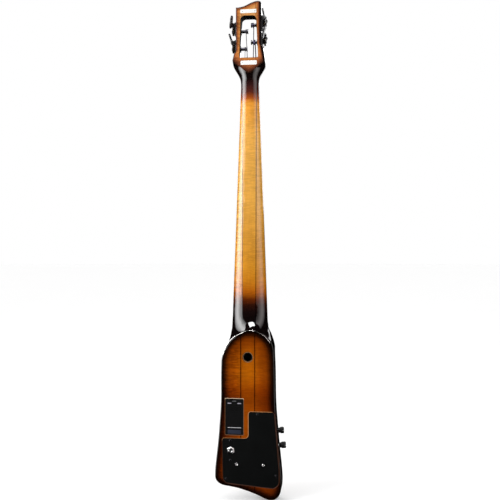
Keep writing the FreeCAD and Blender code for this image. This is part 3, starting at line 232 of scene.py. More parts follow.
UPPER_EDGE = [
    (-67, -10), (-63, 20), (-57, 36), (-46, 50), (-31, 60), (-18, 65.5), (-8, 67), (6, 65), (20, 58.5),
    (36, 50), (49, 36), (58, 20), (63.5, 5), (67, -10)]
HEAD_PLUS = [
    (726, 36), (733, 37), (746, 42.4), (757, 41.5), (766, 39.3), (773.6, 37.6), (780, 33.4), (905, 33)]
HEAD_MINUS = [
    (726, 36), (733, 37), (746, 42.4), (757, 41.5), (766, 40.3), (778, 38.3), (790, 36), (796, 33.4),
    (905, 33)]
HEAD_CROWN = [(-33, 897), (-25, 902.4), (-16, 901.1), (-7, 898.1), (5, 892.5), (17, 888.9), (33, 887.6)]
VOLUTE_EDGE = [
    (-43, 746), (-36, 742), (-28, 735), (-16, 724), (0, 717), (16, 724), (28, 735), (36, 742), (43, 746)]

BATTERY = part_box("battery_box")
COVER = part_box("control_cover")
BEVEL_REACH = 2.6  # how far the timber's bevel stands out round the battery box and the cover
COUNTERSINK_RADIUS = 14.1
BURST_BLEND = 14.0  # how gently the dark border turns from one edge to the next
HEAD_SLOPE, HEAD_OFFSET = 0.05135, -58.07  # the head's back is at y = slope * z + offset
STRIPE_MIDDLE = 17.7
GLUE_AND_HIGHLIGHT_LINES = (19.3, -16.1)
# Colours: by the distance from the edge on the back, by height on the neck, by the distance from the edge on
# the head. BACK_TONES multiplies the back's colours by height.
BACK_STOPS = [
    (0, (0.002, 0.001, 0.0006)), (4, (0.004, 0.0013, 0.0007)), (8, (0.013, 0.0032, 0.001)),
    (12, (0.034, 0.007, 0.0011)), (17, (0.11, 0.021, 0.0013)), (24, (0.235, 0.045, 0.0016)),
    (38, (0.315, 0.065, 0.002)), (62, (0.43, 0.108, 0.0028))]
NECK_STOPS = [
    (95, (0.0035, 0.0018, 0.0018)), (112, (0.006, 0.0024, 0.0022)), (128, (0.018, 0.004, 0.0018)),
    (144, (0.085, 0.014, 0.0014)), (164, (0.33, 0.082, 0.003)), (194, (0.45, 0.16, 0.009)),
    (226, (0.49, 0.198, 0.015)), (397, (0.61, 0.3, 0.05)), (560, (0.68, 0.34, 0.066)),
    (646, (0.72, 0.29, 0.034)), (660, (0.34, 0.068, 0.009)), (676, (0.075, 0.015, 0.009)),
    (694, (0.03, 0.008, 0.0075)), (709, (0.005, 0.002, 0.002)), (725, (0.003, 0.0014, 0.0013))]
HEAD_STOPS = [
    (0, (0.004, 0.002, 0.0016)), (1.4, (0.016, 0.006, 0.004)), (3.0, (0.12, 0.033, 0.015)),
    (5.5, (0.34, 0.1, 0.03)), (8.3, (0.46, 0.165, 0.04)), (11.0, (0.56, 0.235, 0.07)),
    (15.0, (0.6, 0.28, 0.09))]
BACK_TONES = [
    (-360, (0.52, 0.41, 0.34)), (-135, (0.5, 0.38, 0.31)), (-110, (0.4, 0.29, 0.18)),
    (-85, (0.49, 0.35, 0.17)), (-70, (0.66, 0.56, 0.34)), (-45, (0.77, 0.76, 0.55)),
    (-25, (0.75, 0.73, 0.4)), (10, (0.64, 0.6, 0.34)), (70, (0.54, 0.48, 0.28))]


def lacquered(name):
    """A gloss coat over colour that has no shine of its own."""
    return Shade(name, Coat_Weight=1.0, Coat_Roughness=0.045, Coat_IOR=1.5, Specular_IOR_Level=0.0)


def coat_surface(shade, grain):
    """The coat's slight orange peel, and the roughness below it."""
    shade.rough(shade.plus(0.38, shade.times(grain, 0.14)))
    shade.bump(shade.noise((0.18, 0.18, 0.12), 2, 0.5, shift=2.0), 0.05, 0.35, "Coat Normal")


def wander(shade):
    """A slow drift of a few millimetres that keeps the colour borders from running straight."""
    return shade.times(shade.minus(shade.noise((0.02, 0.02, 0.012), 2), 0.5), 7.0)


def bevel_painted_highlight():
    """Painted highlight on bevel wood: at the battery box's ends and the cover's upper corner; darker below."""
    shade = Shade("bevel_painted_highlight", Specular_IOR_Level=0.1)
    wear = shade.noise((0.12, 0.12, 0.12), 3, 0.6, shift=9.0)
    low, high = (corner / MM for corner in BATTERY)
    # painted highlight: the bevels above z -216 are lit, less so beside the battery box's sides, not at the far
    # left
    beside = shade.times(
        shade.math("LESS_THAN", shade.z, high.z - 1.0), shade.math("GREATER_THAN", shade.z, low.z - 3.0))
    beside = shade.times(beside, shade.math("GREATER_THAN", shade.x, low.x - BEVEL_REACH))
    painted_highlight = shade.times(shade.step(shade.z, -216.0, -197.0), shade.plus(0.5, wear))
    painted_highlight = shade.times(painted_highlight, shade.minus(1.0, shade.times(beside, 0.85)))
    painted_highlight = shade.times(painted_highlight, shade.step(shade.x, -64.0, -58.0))
    # the painted highlight's tint: palest on the upper bevel, tan below it
    pale = shade.mix(shade.step(shade.z, -112.0, -106.0), (0.5, 0.24, 0.09), (0.66, 0.5, 0.34))
    shade.colour(shade.mix(painted_highlight, (0.03, 0.008, 0.002), pale))
    shade.rough(shade.plus(0.5, shade.times(wear, 0.2)))
    shade.bump(wear, 0.1, 0.05)
    return shade.material


def socket_rim():
    """Bare wood on the countersink round the stand socket, stained dark towards its edges."""
    shade = Shade("socket_countersink", Specular_IOR_Level=0.15)
    wear = shade.noise((0.4, 0.4, 0.4), 3, 0.6, shift=3.0)
    far = around(shade, 0, 0)
    ring = shade.times(shade.step(far, 11.3, 11.7), shade.step(far, 13.5, 12.7))
    tan = shade.mix(wear, (0.26, 0.1, 0.026), (0.56, 0.26, 0.09))
    dark = shade.mix(wear, (0.004, 0.002, 0.001), (0.014, 0.006, 0.003))
    shade.colour(shade.mix(ring, dark, tan))
    shade.rough(shade.plus(0.4, shade.times(wear, 0.15)))
    shade.bump(wear, 0.08, 0.04)
    return shade.material


def side_and_lower_insets(shade, edge_plus, edge_minus):
    """Distances in from the body's two sides and from its lower edge."""
    plus = shade.minus(shade.curve(shade.z, edge_plus), shade.x)
    minus = shade.plus(shade.curve(shade.z, edge_minus), shade.x)
    sides = shade.math("SMOOTH_MIN", plus, minus, BURST_BLEND)
    return sides, shade.minus(shade.z, shade.curve(shade.x, LOWER_EDGE))


def burst_colour(shade, drift, is_back, is_head):
    """The shaded stain: bands by the distance from the edge on the back and head, by height on the neck."""
    x, z = shade.x, shade.z
    sides, low = side_and_lower_insets(shade, EDGE_PLUS, EDGE_MINUS)
    high = shade.minus(shade.curve(x, UPPER_EDGE), z)
    ends = shade.math("SMOOTH_MIN", low, high, BURST_BLEND)
    inset = shade.math("SMOOTH_MIN", sides, ends, BURST_BLEND)
    inset = shade.plus(inset, shade.plus(drift, 2.0))
    back = shade.mix(1.0, shade.ramp(inset, BACK_STOPS), shade.ramp(z, BACK_TONES), "MULTIPLY")
    crown = shade.minus(shade.curve(x, HEAD_CROWN), z)
    side = shade.math(
        "MINIMUM", shade.minus(shade.curve(z, HEAD_PLUS), shade.plus(x, -0.6)),
        shade.plus(shade.curve(z, HEAD_MINUS), shade.minus(x, 3.8)))
    volute = shade.times(shade.minus(z, shade.curve(x, VOLUTE_EDGE)), 0.22)
    head_inset = shade.math("MINIMUM", shade.math("MINIMUM", side, crown), volute)
    head = shade.ramp(shade.plus(head_inset, shade.times(drift, 0.25)), HEAD_STOPS)
    neck = shade.ramp(shade.plus(z, shade.times(drift, 0.6)), NECK_STOPS)
    return shade.mix(is_head, shade.mix(is_back, neck, back), head)


def laminations(shade, colour, is_back):
    """A pale glue line and painted highlight by each dark lamination; on the back the stain has crept in beside
    them.
    """
    gaps = [shade.math("ABSOLUTE", shade.minus(shade.x, place)) for place in GLUE_AND_HIGHLIGHT_LINES]
    # a pale glue line that also paints the highlight beside the stripe, on the neck and head only
    line = shade.minus(1.0, shade.step(shade.math("MINIMUM", *gaps), 0.3, 0.9))
    line = shade.times(line, shade.minus(0.3, shade.times(is_back, 0.3)))
    colour = shade.mix(line, colour, shade.mix(1.0, colour, (1.5, 1.7, 3.0), "MULTIPLY"))
    off = shade.math("ABSOLUTE", shade.minus(shade.math("ABSOLUTE", shade.x), STRIPE_MIDDLE))
    crept = shade.times(shade.step(off, 2.1, 1.2), shade.times(is_back, 0.75))
    broken = shade.step(shade.noise((0.5, 0.5, 0.16), 3, 0.6, shift=41.0), 0.38, 0.62)
    stained = shade.mix(1.0, colour, (0.3, 0.22, 0.2), "MULTIPLY")
    return shade.mix(shade.times(crept, broken), colour, stained)


def timber(name, kind):
    """Gloss-lacquered maple, shaded from amber to black. kind is core, stripe or side."""
    shade = lacquered(name)
    is_back = shade.times(shade.step(shade.y, -1.5, -0.4), shade.step(shade.z, 80.0, 76.0))
    above_head = shade.minus(shade.y, shade.plus(shade.times(shade.z, HEAD_SLOPE), HEAD_OFFSET))
    is_head = shade.times(shade.step(above_head, -1.0, -0.25), shade.step(shade.z, 712.0, 716.0))
    colour = burst_colour(shade, wander(shade), is_back, is_head)
    # figure: fine grain up the neck, curl across it
    grain = shade.noise((0.55, 0.55, 0.012), 4, 0.6, shift=3.1)
    curl = shade.noise((0.035, 0.035, 0.26), 3, 0.5, 1.2, shift=11.0)
    fine_curl = shade.noise((0.1, 0.08, 0.75), 2, 0.5, 0.6, shift=5.0)
    on_wing = shade.step(shade.x, 14.0, 30.0)
    strength = 0.17 if kind == "core" else shade.plus(0.2, shade.times(on_wing, 0.26))
    bands = shade.plus(shade.minus(shade.step(curl, 0.4, 0.62), 0.5), shade.minus(fine_curl, 0.5))
    cloud = shade.noise((0.028, 0.028, 0.01), 3, 0.6, shift=31.0)
    clouds = shade.times(shade.minus(cloud, 0.5), 0.55)
    figure = shade.plus(shade.plus(0.88, clouds), shade.times(bands, strength))
    streaks = shade.plus(0.9, shade.times(grain, 0.2))
    flecks = shade.step(shade.noise((0.16, 0.16, 0.55), 2, 0.5, 0.4, shift=21.0), 0.66, 0.74)
    figure = shade.times(shade.times(figure, streaks), shade.minus(1.0, shade.times(flecks, 0.16)))
    if kind == "stripe":
        tone = shade.plus(0.11, shade.times(shade.step(grain, 0.35, 0.7), 0.1))
        tone = shade.plus(tone, shade.times(is_head, 0.5))
        colour = shade.mix(1.0, colour, shade.grey(tone), "MULTIPLY")
    else:
        colour = laminations(shade, colour, is_back)
    shade.colour(shade.mix(1.0, colour, shade.grey(figure), "MULTIPLY"))
    coat_surface(shade, grain)
    shade.bump(shade.plus(grain, fine_curl), 0.1, 0.04)
    return shade.material


def front_board():
    """The body's front: the same stain, darkest on the board's edge."""
    shade = lacquered("front_board")
    sides, low = side_and_lower_insets(shade, EDGE_PLUS[:-4], EDGE_MINUS[:-4])
    inset = shade.math("SMOOTH_MIN", sides, low, BURST_BLEND)
    colour = shade.ramp(shade.plus(inset, shade.plus(wander(shade), 2.0)), BACK_STOPS)
    colour = shade.mix(shade.step(shade.y, -42.0, -43.4), BACK_STOPS[0][1], colour)
    grain = shade.noise((0.55, 0.55, 0.012), 4, 0.6, shift=9.0)
    curl = shade.noise((0.035, 0.035, 0.26), 3, 0.5, 1.2, shift=4.0)
    bands = shade.minus(shade.step(curl, 0.38, 0.62), 0.5)
    figure = shade.plus(1.0, shade.times(bands, 0.34))
    figure = shade.times(figure, shade.plus(0.88, shade.times(grain, 0.24)))
    shade.colour(shade.mix(1.0, colour, shade.grey(figure), "MULTIPLY"))
    coat_surface(shade, grain)
    return shade.material


def plain_wood(name, light, dark, along, rough, coat=0.0):
    """Oiled or sealed wood: pores and streaks along one axis."""
    shade = Shade(name, Coat_Weight=coat, Coat_Roughness=0.12, Specular_IOR_Level=0.4)
    stretch = [0.014 if axis == along else 0.5 for axis in "XYZ"]
    pores = [0.09 if axis == along else 1.6 for axis in "XYZ"]
    streaks = shade.noise(stretch, 4, 0.6, 0.3)
    pits = shade.step(shade.noise(pores, 2, 0.5, shift=8.0), 0.6, 0.72)
    colour = shade.mix(shade.step(streaks, 0.32, 0.68), dark, light)
    shade.colour(shade.mix(shade.times(pits, 0.5), colour, tuple(c * 0.35 for c in dark)))
    shade.rough(shade.plus(rough, shade.times(streaks, 0.16)))
    shade.bump(shade.minus(1.0, pits), 0.25, 0.06)
    return shade.material


# ---- metal, plastic and string finishes
def metal(name, colour, rough, brushed=(0.5, 0.5, 0.5), metallic=1.0, wear=None, coat=0.0, shine=0.5):
    """Plated or painted metal with fine scuffs; wear is a colour that shows through on worn spots."""
    shade = Shade(name, Metallic=metallic, Coat_Weight=coat, Coat_Roughness=0.06, Specular_IOR_Level=shine)
    scuffs = shade.noise(brushed, 5, 0.65)
    cloud = shade.noise((0.05, 0.05, 0.05), 2, 0.5, shift=6.0)
    tone = shade.plus(0.86, shade.times(cloud, 0.28))
    painted = shade.mix(1.0, colour, shade.grey(tone), "MULTIPLY")
    if wear:
        spots = shade.step(shade.noise((0.4, 0.4, 0.4), 4, 0.6, shift=14.0), 0.66, 0.78)
        painted = shade.mix(shade.times(spots, 0.4), painted, wear)
    shade.colour(painted)
    shade.rough(shade.plus(rough, shade.times(scuffs, 0.14)))
    shade.bump(scuffs, 0.08, 0.03)
    return shade.material


def plastic(name, colour, rough, grain_size=1.4, grain=0.3, coat=0.0, edge=None, shine=0.45):
    """Moulded plastic: fine pebbled grain, a little clouding and handling marks."""
    shade = Shade(name, Coat_Weight=coat, Coat_Roughness=0.08, Specular_IOR_Level=shine)
    pebble = shade.noise((grain_size,) * 3, 3, 0.6)
    cloud = shade.noise((0.03, 0.03, 0.03), 3, 0.5, shift=4.0)
    rubs = shade.step(shade.noise((0.9, 0.9, 0.05), 4, 0.6, 0.5, shift=17.0), 0.62, 0.8)
    tone = shade.plus(0.82, shade.times(cloud, 0.36))
    painted = shade.mix(1.0, colour, shade.grey(tone), "MULTIPLY")
    rubbed = edge or tuple(level * 3 + 0.002 for level in colour)
    shade.colour(shade.mix(shade.times(rubs, 0.12), painted, rubbed))
    shade.rough(shade.plus(rough, shade.times(cloud, 0.14)))
    shade.bump(pebble, grain, 0.05)
    return shade.material


def string_finish(name, period=0.42, thread_from=708.0):
    """Flat-wound steel in narrow bands round a string that runs mostly along Z; past the nut, thread."""
    shade = Shade(name, Metallic=1.0)
    slope = shade.plus(shade.z, shade.times(shade.x, 0.08))
    turns = shade.math("FRACT", shade.math("DIVIDE", slope, period))
    gap = shade.math("ABSOLUTE", shade.minus(turns, 0.5))
    groove = shade.step(gap, 0.38, 0.48)
    tarnish = shade.noise((0.2, 0.2, 0.04), 3, 0.6)
    colour = shade.mix(shade.step(tarnish, 0.35, 0.7), (0.3, 0.3, 0.31), (0.17, 0.17, 0.18))
    # painted shade: the grooves between the bands are darkened
    colour = shade.mix(groove, colour, (0.05, 0.05, 0.05))
    wrapped = shade.step(shade.z, thread_from, thread_from + 0.5)
    shade.colour(shade.mix(wrapped, colour, (0.03, 0.026, 0.06)))
    shade.link(shade.minus(1.0, wrapped), shade.shader.inputs["Metallic"])
    rough = shade.plus(0.24, shade.times(tarnish, 0.2))
    shade.rough(shade.plus(rough, shade.times(wrapped, 0.3)))
    shade.bump(shade.minus(1.0, groove), 0.5, 0.06)
    return shade.material


def circuit_board():
    """Green board with pads and tracks; the parts on it stand higher and are dark or pale."""
    shade = Shade("circuit_board", Specular_IOR_Level=0.5)
    node = shade.add("TexBrick")
    shade.link(shade.vector("MULTIPLY", shade.place, (0.2, 0.2, 0.2)), node.inputs["Vector"])
    node.inputs["Scale"].default_value = 1.0
    node.inputs["Color1"].default_value = (0.012, 0.1, 0.035, 1)
    node.inputs["Color2"].default_value = (0.016, 0.13, 0.045, 1)
    node.inputs["Mortar"].default_value = (0.03, 0.2, 0.07, 1)
    node.inputs["Mortar Size"].default_value = 0.03
    parts = shade.mix(shade.step(shade.y, -21.0, -20.0), (0.02, 0.02, 0.022), (0.3, 0.31, 0.32))
    shade.colour(shade.mix(shade.step(shade.y, -28.3, -28.1), node.outputs["Color"], parts))
    shade.rough(shade.plus(0.3, shade.times(shade.noise((0.3, 0.3, 0.3)), 0.2)))
    return shade.material


def round_silk(name, colour, y, z, bands_round=26):
    """Thread on string wound round a post: bands_round bands in a turn about the post's axis."""
    shade = Shade(name, Sheen_Weight=0.5, Sheen_Roughness=0.4)
    turn = shade.math("ARCTAN2", shade.minus(shade.z, z), shade.minus(shade.y, y))
    lead = shade.times(shade.x, 0.6)
    bands = shade.math("FRACT", shade.plus(shade.math("DIVIDE", turn, 2 * math.pi / bands_round), lead))
    ridge = shade.minus(1.0, shade.math("ABSOLUTE", shade.minus(bands, 0.5)))
    # painted shade: the hollows between the thread's bands are darkened
    shade.colour(shade.mix(shade.step(ridge, 0.5, 0.85), tuple(c * 0.35 for c in colour), colour))
    shade.rough(shade.plus(0.55, shade.times(ridge, 0.2)))
    shade.bump(ridge, 0.6, 0.1)
    return shade.material


FINISH = {
    "core_maple": timber("core_maple_lacquer", "core"),
    "dark_stripe": timber("stripe_lacquer", "stripe"),
    "burst_maple": timber("side_maple_lacquer", "side"),
    "front_maple": front_board(),
    "ebony": plain_wood("ebony", (0.022, 0.017, 0.014), (0.009, 0.007, 0.006), "Z", 0.34),
    "dot_white": plastic("dot_pearl", (0.72, 0.7, 0.64), 0.2, 0.8, 0.05, 0.6),
    "string_wound": string_finish("flat_wound_steel"),
    "tuner_black": metal(
        "tuner_black_gloss", (0.005, 0.005, 0.006), 0.26, metallic=0.0, wear=(0.012, 0.012, 0.014), coat=0.16,
        shine=0.2),
    "worm_steel": metal("worm_blackened", (0.07, 0.07, 0.075), 0.26),
    "gear_brass": metal("gear_dark_brass", (0.06, 0.048, 0.03), 0.3, wear=(0.2, 0.15, 0.07)),
    "post_steel": metal("post_black_nickel", (0.045, 0.044, 0.052), 0.22),
    "bushing_black": metal("bushing_satin_black", (0.014, 0.014, 0.015), 0.34, metallic=0.3),
    "nut_black": plastic("nut_polished", (0.012, 0.012, 0.012), 0.22, 0.6, 0.05, 0.5),
    "bridge_maple": plain_wood("bridge_maple", (0.42, 0.22, 0.085), (0.28, 0.13, 0.045), "X", 0.42, 0.25),
    "stud_steel": metal("stud_steel", (0.42, 0.42, 0.43), 0.26, brushed=(0.9, 0.15, 0.9)),
    "wheel_brass": metal(
        "wheel_brass", (0.56, 0.38, 0.13), 0.26, brushed=(0.3, 2.0, 0.3), wear=(0.3, 0.17, 0.06)),
    "pickup_shell": metal("pickup_brass", (0.6, 0.42, 0.17), 0.3, wear=(0.32, 0.2, 0.08)),
    "tail_ebony": plain_wood("tail_ebony", (0.024, 0.018, 0.014), (0.01, 0.008, 0.006), "X", 0.34),
    "blank_white": plastic("blank_enamel", (0.8, 0.79, 0.76), 0.22, 0.5, 0.06, 0.8, (0.55, 0.53, 0.5)),
    "socket_black": metal(
        "socket_black", (0.006, 0.006, 0.006), 0.38, brushed=(0.2, 3.0, 0.2), metallic=0.0, shine=0.1),
    "box_plastic": plastic("box_moulded", (0.0028, 0.003, 0.0033), 0.42, 2.0, 0.3, shine=0.06),
    "lid_plastic": plastic("lid_moulded", (0.0036, 0.0037, 0.0039), 0.4, 1.6, 0.35, shine=0.03),
    "battery_case": plastic("battery_sleeve", (0.06, 0.09, 0.18), 0.25, 0.5, 0.05, 0.5),
    "cover_plastic": plastic("cover_matt", (0.0011, 0.0014, 0.0014), 0.46, 1.7, 0.35, shine=0.05),
    "screw_steel": metal("cover_screw_black", (0.16, 0.16, 0.17), 0.28),
    "jack_chrome": metal("jack_chrome", (0.8, 0.8, 0.81), 0.08, brushed=(0.2, 0.2, 0.2)),
    "pot_can": metal("pot_plated", (0.45, 0.45, 0.44), 0.3),
    "knob_black": plastic("knob_satin", (0.0042, 0.0042, 0.0046), 0.3, 1.2, 0.12, 0.22, shine=0.08),
    "board_green": circuit_board(),
    "lead_black": plastic("lead_insulation", (0.012, 0.012, 0.013), 0.42, 0.8, 0.1),
}
# a light grey polished metal bead that paints the thin highlight on the arch's lacquered arris
ARCH_HIGHLIGHT_BEAD = metal("arch_highlight_bead", (0.7, 0.68, 0.66), 0.12)
# near-black matt finish for the liner inside the head slot
SLOT_BLACK = plastic("slot_dark_liner", (0.0016, 0.0015, 0.0015), 0.7, 1.0, 0.1, shine=0.03)
# light grey that paints the highlights on the frame's edges beside the latch notch
HIGHLIGHT_BAR_GREY = plastic("latch_edge_highlights", (0.22, 0.205, 0.25), 0.4, 1.6, 0.2)
# a lighter grey for the latch's lip than for the lid
LIP_GREY = plastic("latch_lip_light_grey", (0.085, 0.085, 0.09), 0.4, 1.6, 0.2)
# light grey that paints the reflection on the lid's bevelled lower edge
REFLECTION_GREY = plastic("lid_edge_reflection_bead", (0.36, 0.36, 0.38), 0.34, 1.6, 0.15)
PAD_BLUE = plastic("box_pad", (0.013, 0.016, 0.028), 0.5, 1.2, 0.4, edge=(0.008, 0.009, 0.04), shine=0.05)
DARK_SCREW = metal("screw_blackened", (0.02, 0.02, 0.022), 0.2)
SLOT_OF = {entry["node"]: entry["material_slot"] for entry in frame["record"]["subparts"]}
for node_name, node in NODES.items():
    node.data.materials.clear()
    node.data.materials.append(FINISH[SLOT_OF[node_name]])


def finish_bevels(mesh, highlight_finish, countersink):
    """Gives bevels round the battery box and cover their painted highlight, the socket's countersink its own wood.
    """
    highlight_slot, countersink_slot = len(mesh.materials), len(mesh.materials) + 1
    mesh.materials.append(highlight_finish)
    mesh.materials.append(countersink)
    margin = Vector((BEVEL_REACH, BEVEL_REACH, BEVEL_REACH))
    low, high = BATTERY[0] / MM - margin, BATTERY[1] / MM + margin
    cover_low, cover_high = COVER[0] / MM - margin, COVER[1] / MM + margin
    # the bevels' faces lie just below the back and lean outwards
    for face in mesh.polygons:
        x, y, z = face.center / MM
        by_box = low.x < x < high.x and low.z < z < high.z
        by_cover = cover_low.x < x < cover_high.x and z < cover_high.z
        if -1.5 < y < -0.02 and 0.5 < face.normal.y < 0.9 and (by_box or by_cover):
            face.material_index = highlight_slot
        if -2.5 < y < -0.02 and math.hypot(x, z) < COUNTERSINK_RADIUS and 0.3 < face.normal.y < 0.9:
            face.material_index = countersink_slot


BEVEL_HIGHLIGHT = bevel_painted_highlight()
COUNTERSINK = socket_rim()
for node_name in ("body_wings", "neck_sides", "neck_core", "neck_stripes"):
    finish_bevels(NODES[node_name].data, BEVEL_HIGHLIGHT, COUNTERSINK)

# ---- mesh pieces
OUT_OF_BACK = (0, 1, 0)


def spot(x, y, z):
    return Vector((x, y, z)) * MM


def piece(name, mesh, body, slot, finish=None, smooth_angle=35):
    """Links a mesh in the row frame, gives it its finish and lets it ride on a body, if one is named."""
    item = bpy.data.objects.new(name, mesh)
    bpy.context.scene.collection.objects.link(item)
    mesh.materials.append(finish or FINISH[slot])
    for face in mesh.polygons:
        face.use_smooth = True
    mesh.set_sharp_from_angle(angle=math.radians(smooth_angle))
    if body:
        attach(item, body)
    return item


def mesh_from(builder, name):
    mesh = bpy.data.meshes.new(name)
    bmesh.ops.recalc_face_normals(builder, faces=builder.faces)
    builder.to_mesh(mesh)
    builder.free()
    return mesh


def axes_for(direction, across=None):
    """A rotation whose Z points along direction and whose X leans towards across."""
    forward = Vector(direction).normalized()
    guide = Vector(across or ((0, 0, 1) if abs(forward.z) < 0.9 else (1, 0, 0)))
    right = (guide - forward * guide.dot(forward)).normalized()
    return Matrix((right, forward.cross(right), forward)).transposed().to_4x4()


def stitch(builder, lower, upper):
    """Joins two closed loops of vertices with a band of faces."""
    for at in range(len(lower)):
        following = (at + 1) % len(lower)
        builder.faces.new((lower[at], lower[following], upper[following], upper[at]))


def rings(builder, loops, closed_ends=True):
    """Skins a list of equal-length point loops."""
    made = [[builder.verts.new(point) for point in loop] for loop in loops]
    for lower, upper in zip(made, made[1:]):
        stitch(builder, lower, upper)
    if closed_ends:
        builder.faces.new(list(reversed(made[0])))
        builder.faces.new(made[-1])
    return made


def turned(name, profile, origin, direction, body, slot, sides=48, flute=None, finish=None, smooth_angle=35):
    """A lathe piece. profile is (radius, height) in millimetres; flute adds to the radius."""
    place = Matrix.Translation(Vector(origin)) @ axes_for(direction)
    builder = bmesh.new()
    loops = []
    for radius, height in profile:
        loop = []
        for side in range(sides):
            angle = 2 * math.pi * side / sides
            reach = radius + (flute(angle, radius, height) if flute else 0)
            loop.append(place @ spot(reach * math.cos(angle), reach * math.sin(angle), height))
        loops.append(loop)
    rings(builder, loops)
    return piece(name, mesh_from(builder, name), body, slot, finish, smooth_angle=smooth_angle)


def tube(name, points, radii, body, slot, finish, sides=16):
    """A round bar that follows close-spaced points, its frame carried along without twist."""
    builder = bmesh.new()
    loops = []
    heading = (points[1] - points[0]).normalized()
    right = axes_for(heading).to_3x3().col[0].copy()
    for index, (point, radius) in enumerate(zip(points, radii)):
        ahead = points[min(index + 1, len(points) - 1)] - points[max(index - 1, 0)]
        ahead.normalize()
        right = (right - ahead * right.dot(ahead)).normalized()
        up = ahead.cross(right)
        loops.append([
            point + (right * math.cos(turn) + up * math.sin(turn)) * radius
            for turn in (2 * math.pi * side / sides for side in range(sides))])
    rings(builder, loops)
    return piece(name, mesh_from(builder, name), body, slot, finish)


def screw_head(name, centre, direction, radius, height, cross, body, slot, finish=None, turn=0.0, dome=0.5):
    """A domed head whose driver slot is cut into its mesh; dome is the share of the height that is curved."""
    cuts = [-1, -0.85, -0.62, -0.4, -0.19, -0.14, 0.14, 0.19, 0.4, 0.62, 0.85, 1]
    slot_half, slot_reach, slot_depth, skirt_depth = 0.15, 0.7, 0.62, 0.4
    place = Matrix.Translation(centre) @ axes_for(direction) @ Matrix.Rotation(turn, 4, "Z")
    builder = bmesh.new()
    grid = []
    for u in cuts:
        row = []
        for v in cuts:
            along, across = u * math.sqrt(1 - v * v / 2), v * math.sqrt(1 - u * u / 2)
            far = min(1.0, math.hypot(along, across))
            rise = height * (1 - dome + dome * math.sqrt(1 - far * far))
            in_slot = abs(v) < slot_half and abs(u) < slot_reach
            in_slot = in_slot or cross and abs(u) < slot_half and abs(v) < slot_reach
            depth = height * slot_depth if in_slot else 0.0
            row.append(builder.verts.new(place @ spot(along * radius, across * radius, rise - depth)))
        grid.append(row)
    size = len(cuts)
    for i in range(size - 1):
        for j in range(size - 1):
            builder.faces.new((grid[i][j], grid[i + 1][j], grid[i + 1][j + 1], grid[i][j + 1]))
    rim = [grid[i][0] for i in range(size)] + [grid[-1][j] for j in range(1, size)]
    rim += [grid[i][-1] for i in range(size - 2, -1, -1)] + [grid[0][j] for j in range(size - 2, 0, -1)]
    back = place.inverted()
    skirt = []
    for vert in rim:
        at = back @ vert.co
        skirt.append(builder.verts.new(place @ Vector((at.x, at.y, -skirt_depth * MM))))
    stitch(builder, rim, skirt)
    builder.faces.new(skirt)
    return piece(name, mesh_from(builder, name), body, slot, finish, smooth_angle=32)


def slab(name, outline, lower, upper, to_space, body, slot, round_by=0.5, finish=None):
    """A plate with rounded rims: outline is (u, v) in millimetres, lower and upper its faces."""
    builder = bmesh.new()
    middle = Vector((sum(u for u, _ in outline), sum(v for _, v in outline))) / len(outline)
    loops = []
    for inset, level in (
            (round_by, lower), (round_by * 0.3, lower + round_by * 0.3), (0, lower + round_by),
            (0, upper - round_by), (round_by * 0.3, upper - round_by * 0.3), (round_by, upper)):
        loop = []
        for index, point in enumerate(outline):
            before, after = Vector(outline[index - 1]), Vector(outline[(index + 1) % len(outline)])
            run = (after - before).normalized()
            inward = Vector((-run.y, run.x))
            if inward.dot(middle - Vector(point)) < 0:
                inward.negate()
            u, v = Vector(point) + inward * inset
            loop.append(to_space(u, v, level))
        loops.append(loop)
    rings(builder, loops)
    return piece(name, mesh_from(builder, name), body, slot, finish)


def rounded(half_u, half_v, corner, centre=(0, 0), steps=5):
    """A rectangle's outline with round corners."""
    points = []
    for number, (su, sv) in enumerate(((1, 1), (-1, 1), (-1, -1), (1, -1))):
        for step in range(steps + 1):
            angle = math.radians(90 * number + 90 * step / steps)
            points.append((
                centre[0] + su * (half_u - corner) + corner * math.cos(angle),
                centre[1] + sv * (half_v - corner) + corner * math.sin(angle)))
    return points


# ---- tuners: windings, keys and plate screws
def head_level(z):
    """Y of the head's back at a height, in millimetres."""
    return HEAD_SLOPE * z + HEAD_OFFSET


POST_Y, POST_RADIUS, EYE_RADIUS = -33.0, 4.0, 0.78
NUT_Z, NUT_CREST_Y, NUT_ARCH = 702.5, -61, 80  # the nut's place and its crown's radius
STRING_LIFT, LANE_WIDTH = 0.8, 5.67
WRAP_GAP = 0.35  # the coil lies this far off the post
WRAP_WIDTH = 3.0  # length of post that a coil takes
STEPS_PER_TURN, LEAD_STEPS = 40, 7
BLUE_SILK, BLACK_SILK = (0.06, 0.05, 0.15), (0.03, 0.022, 0.04)
TUNERS = {  # lane, string diameter, side, winding x, key's resting turn, silk
    "e": (-3, 2.67, -1, -14.5, -14, BLUE_SILK),
    "a": (-1, 2.16, -1, -11.0, 10, BLUE_SILK),
    "d": (1, 1.65, 1, 9.0, -8, BLACK_SILK),
    "g": (3, 1.14, 1, 11.4, 18, BLACK_SILK),
}


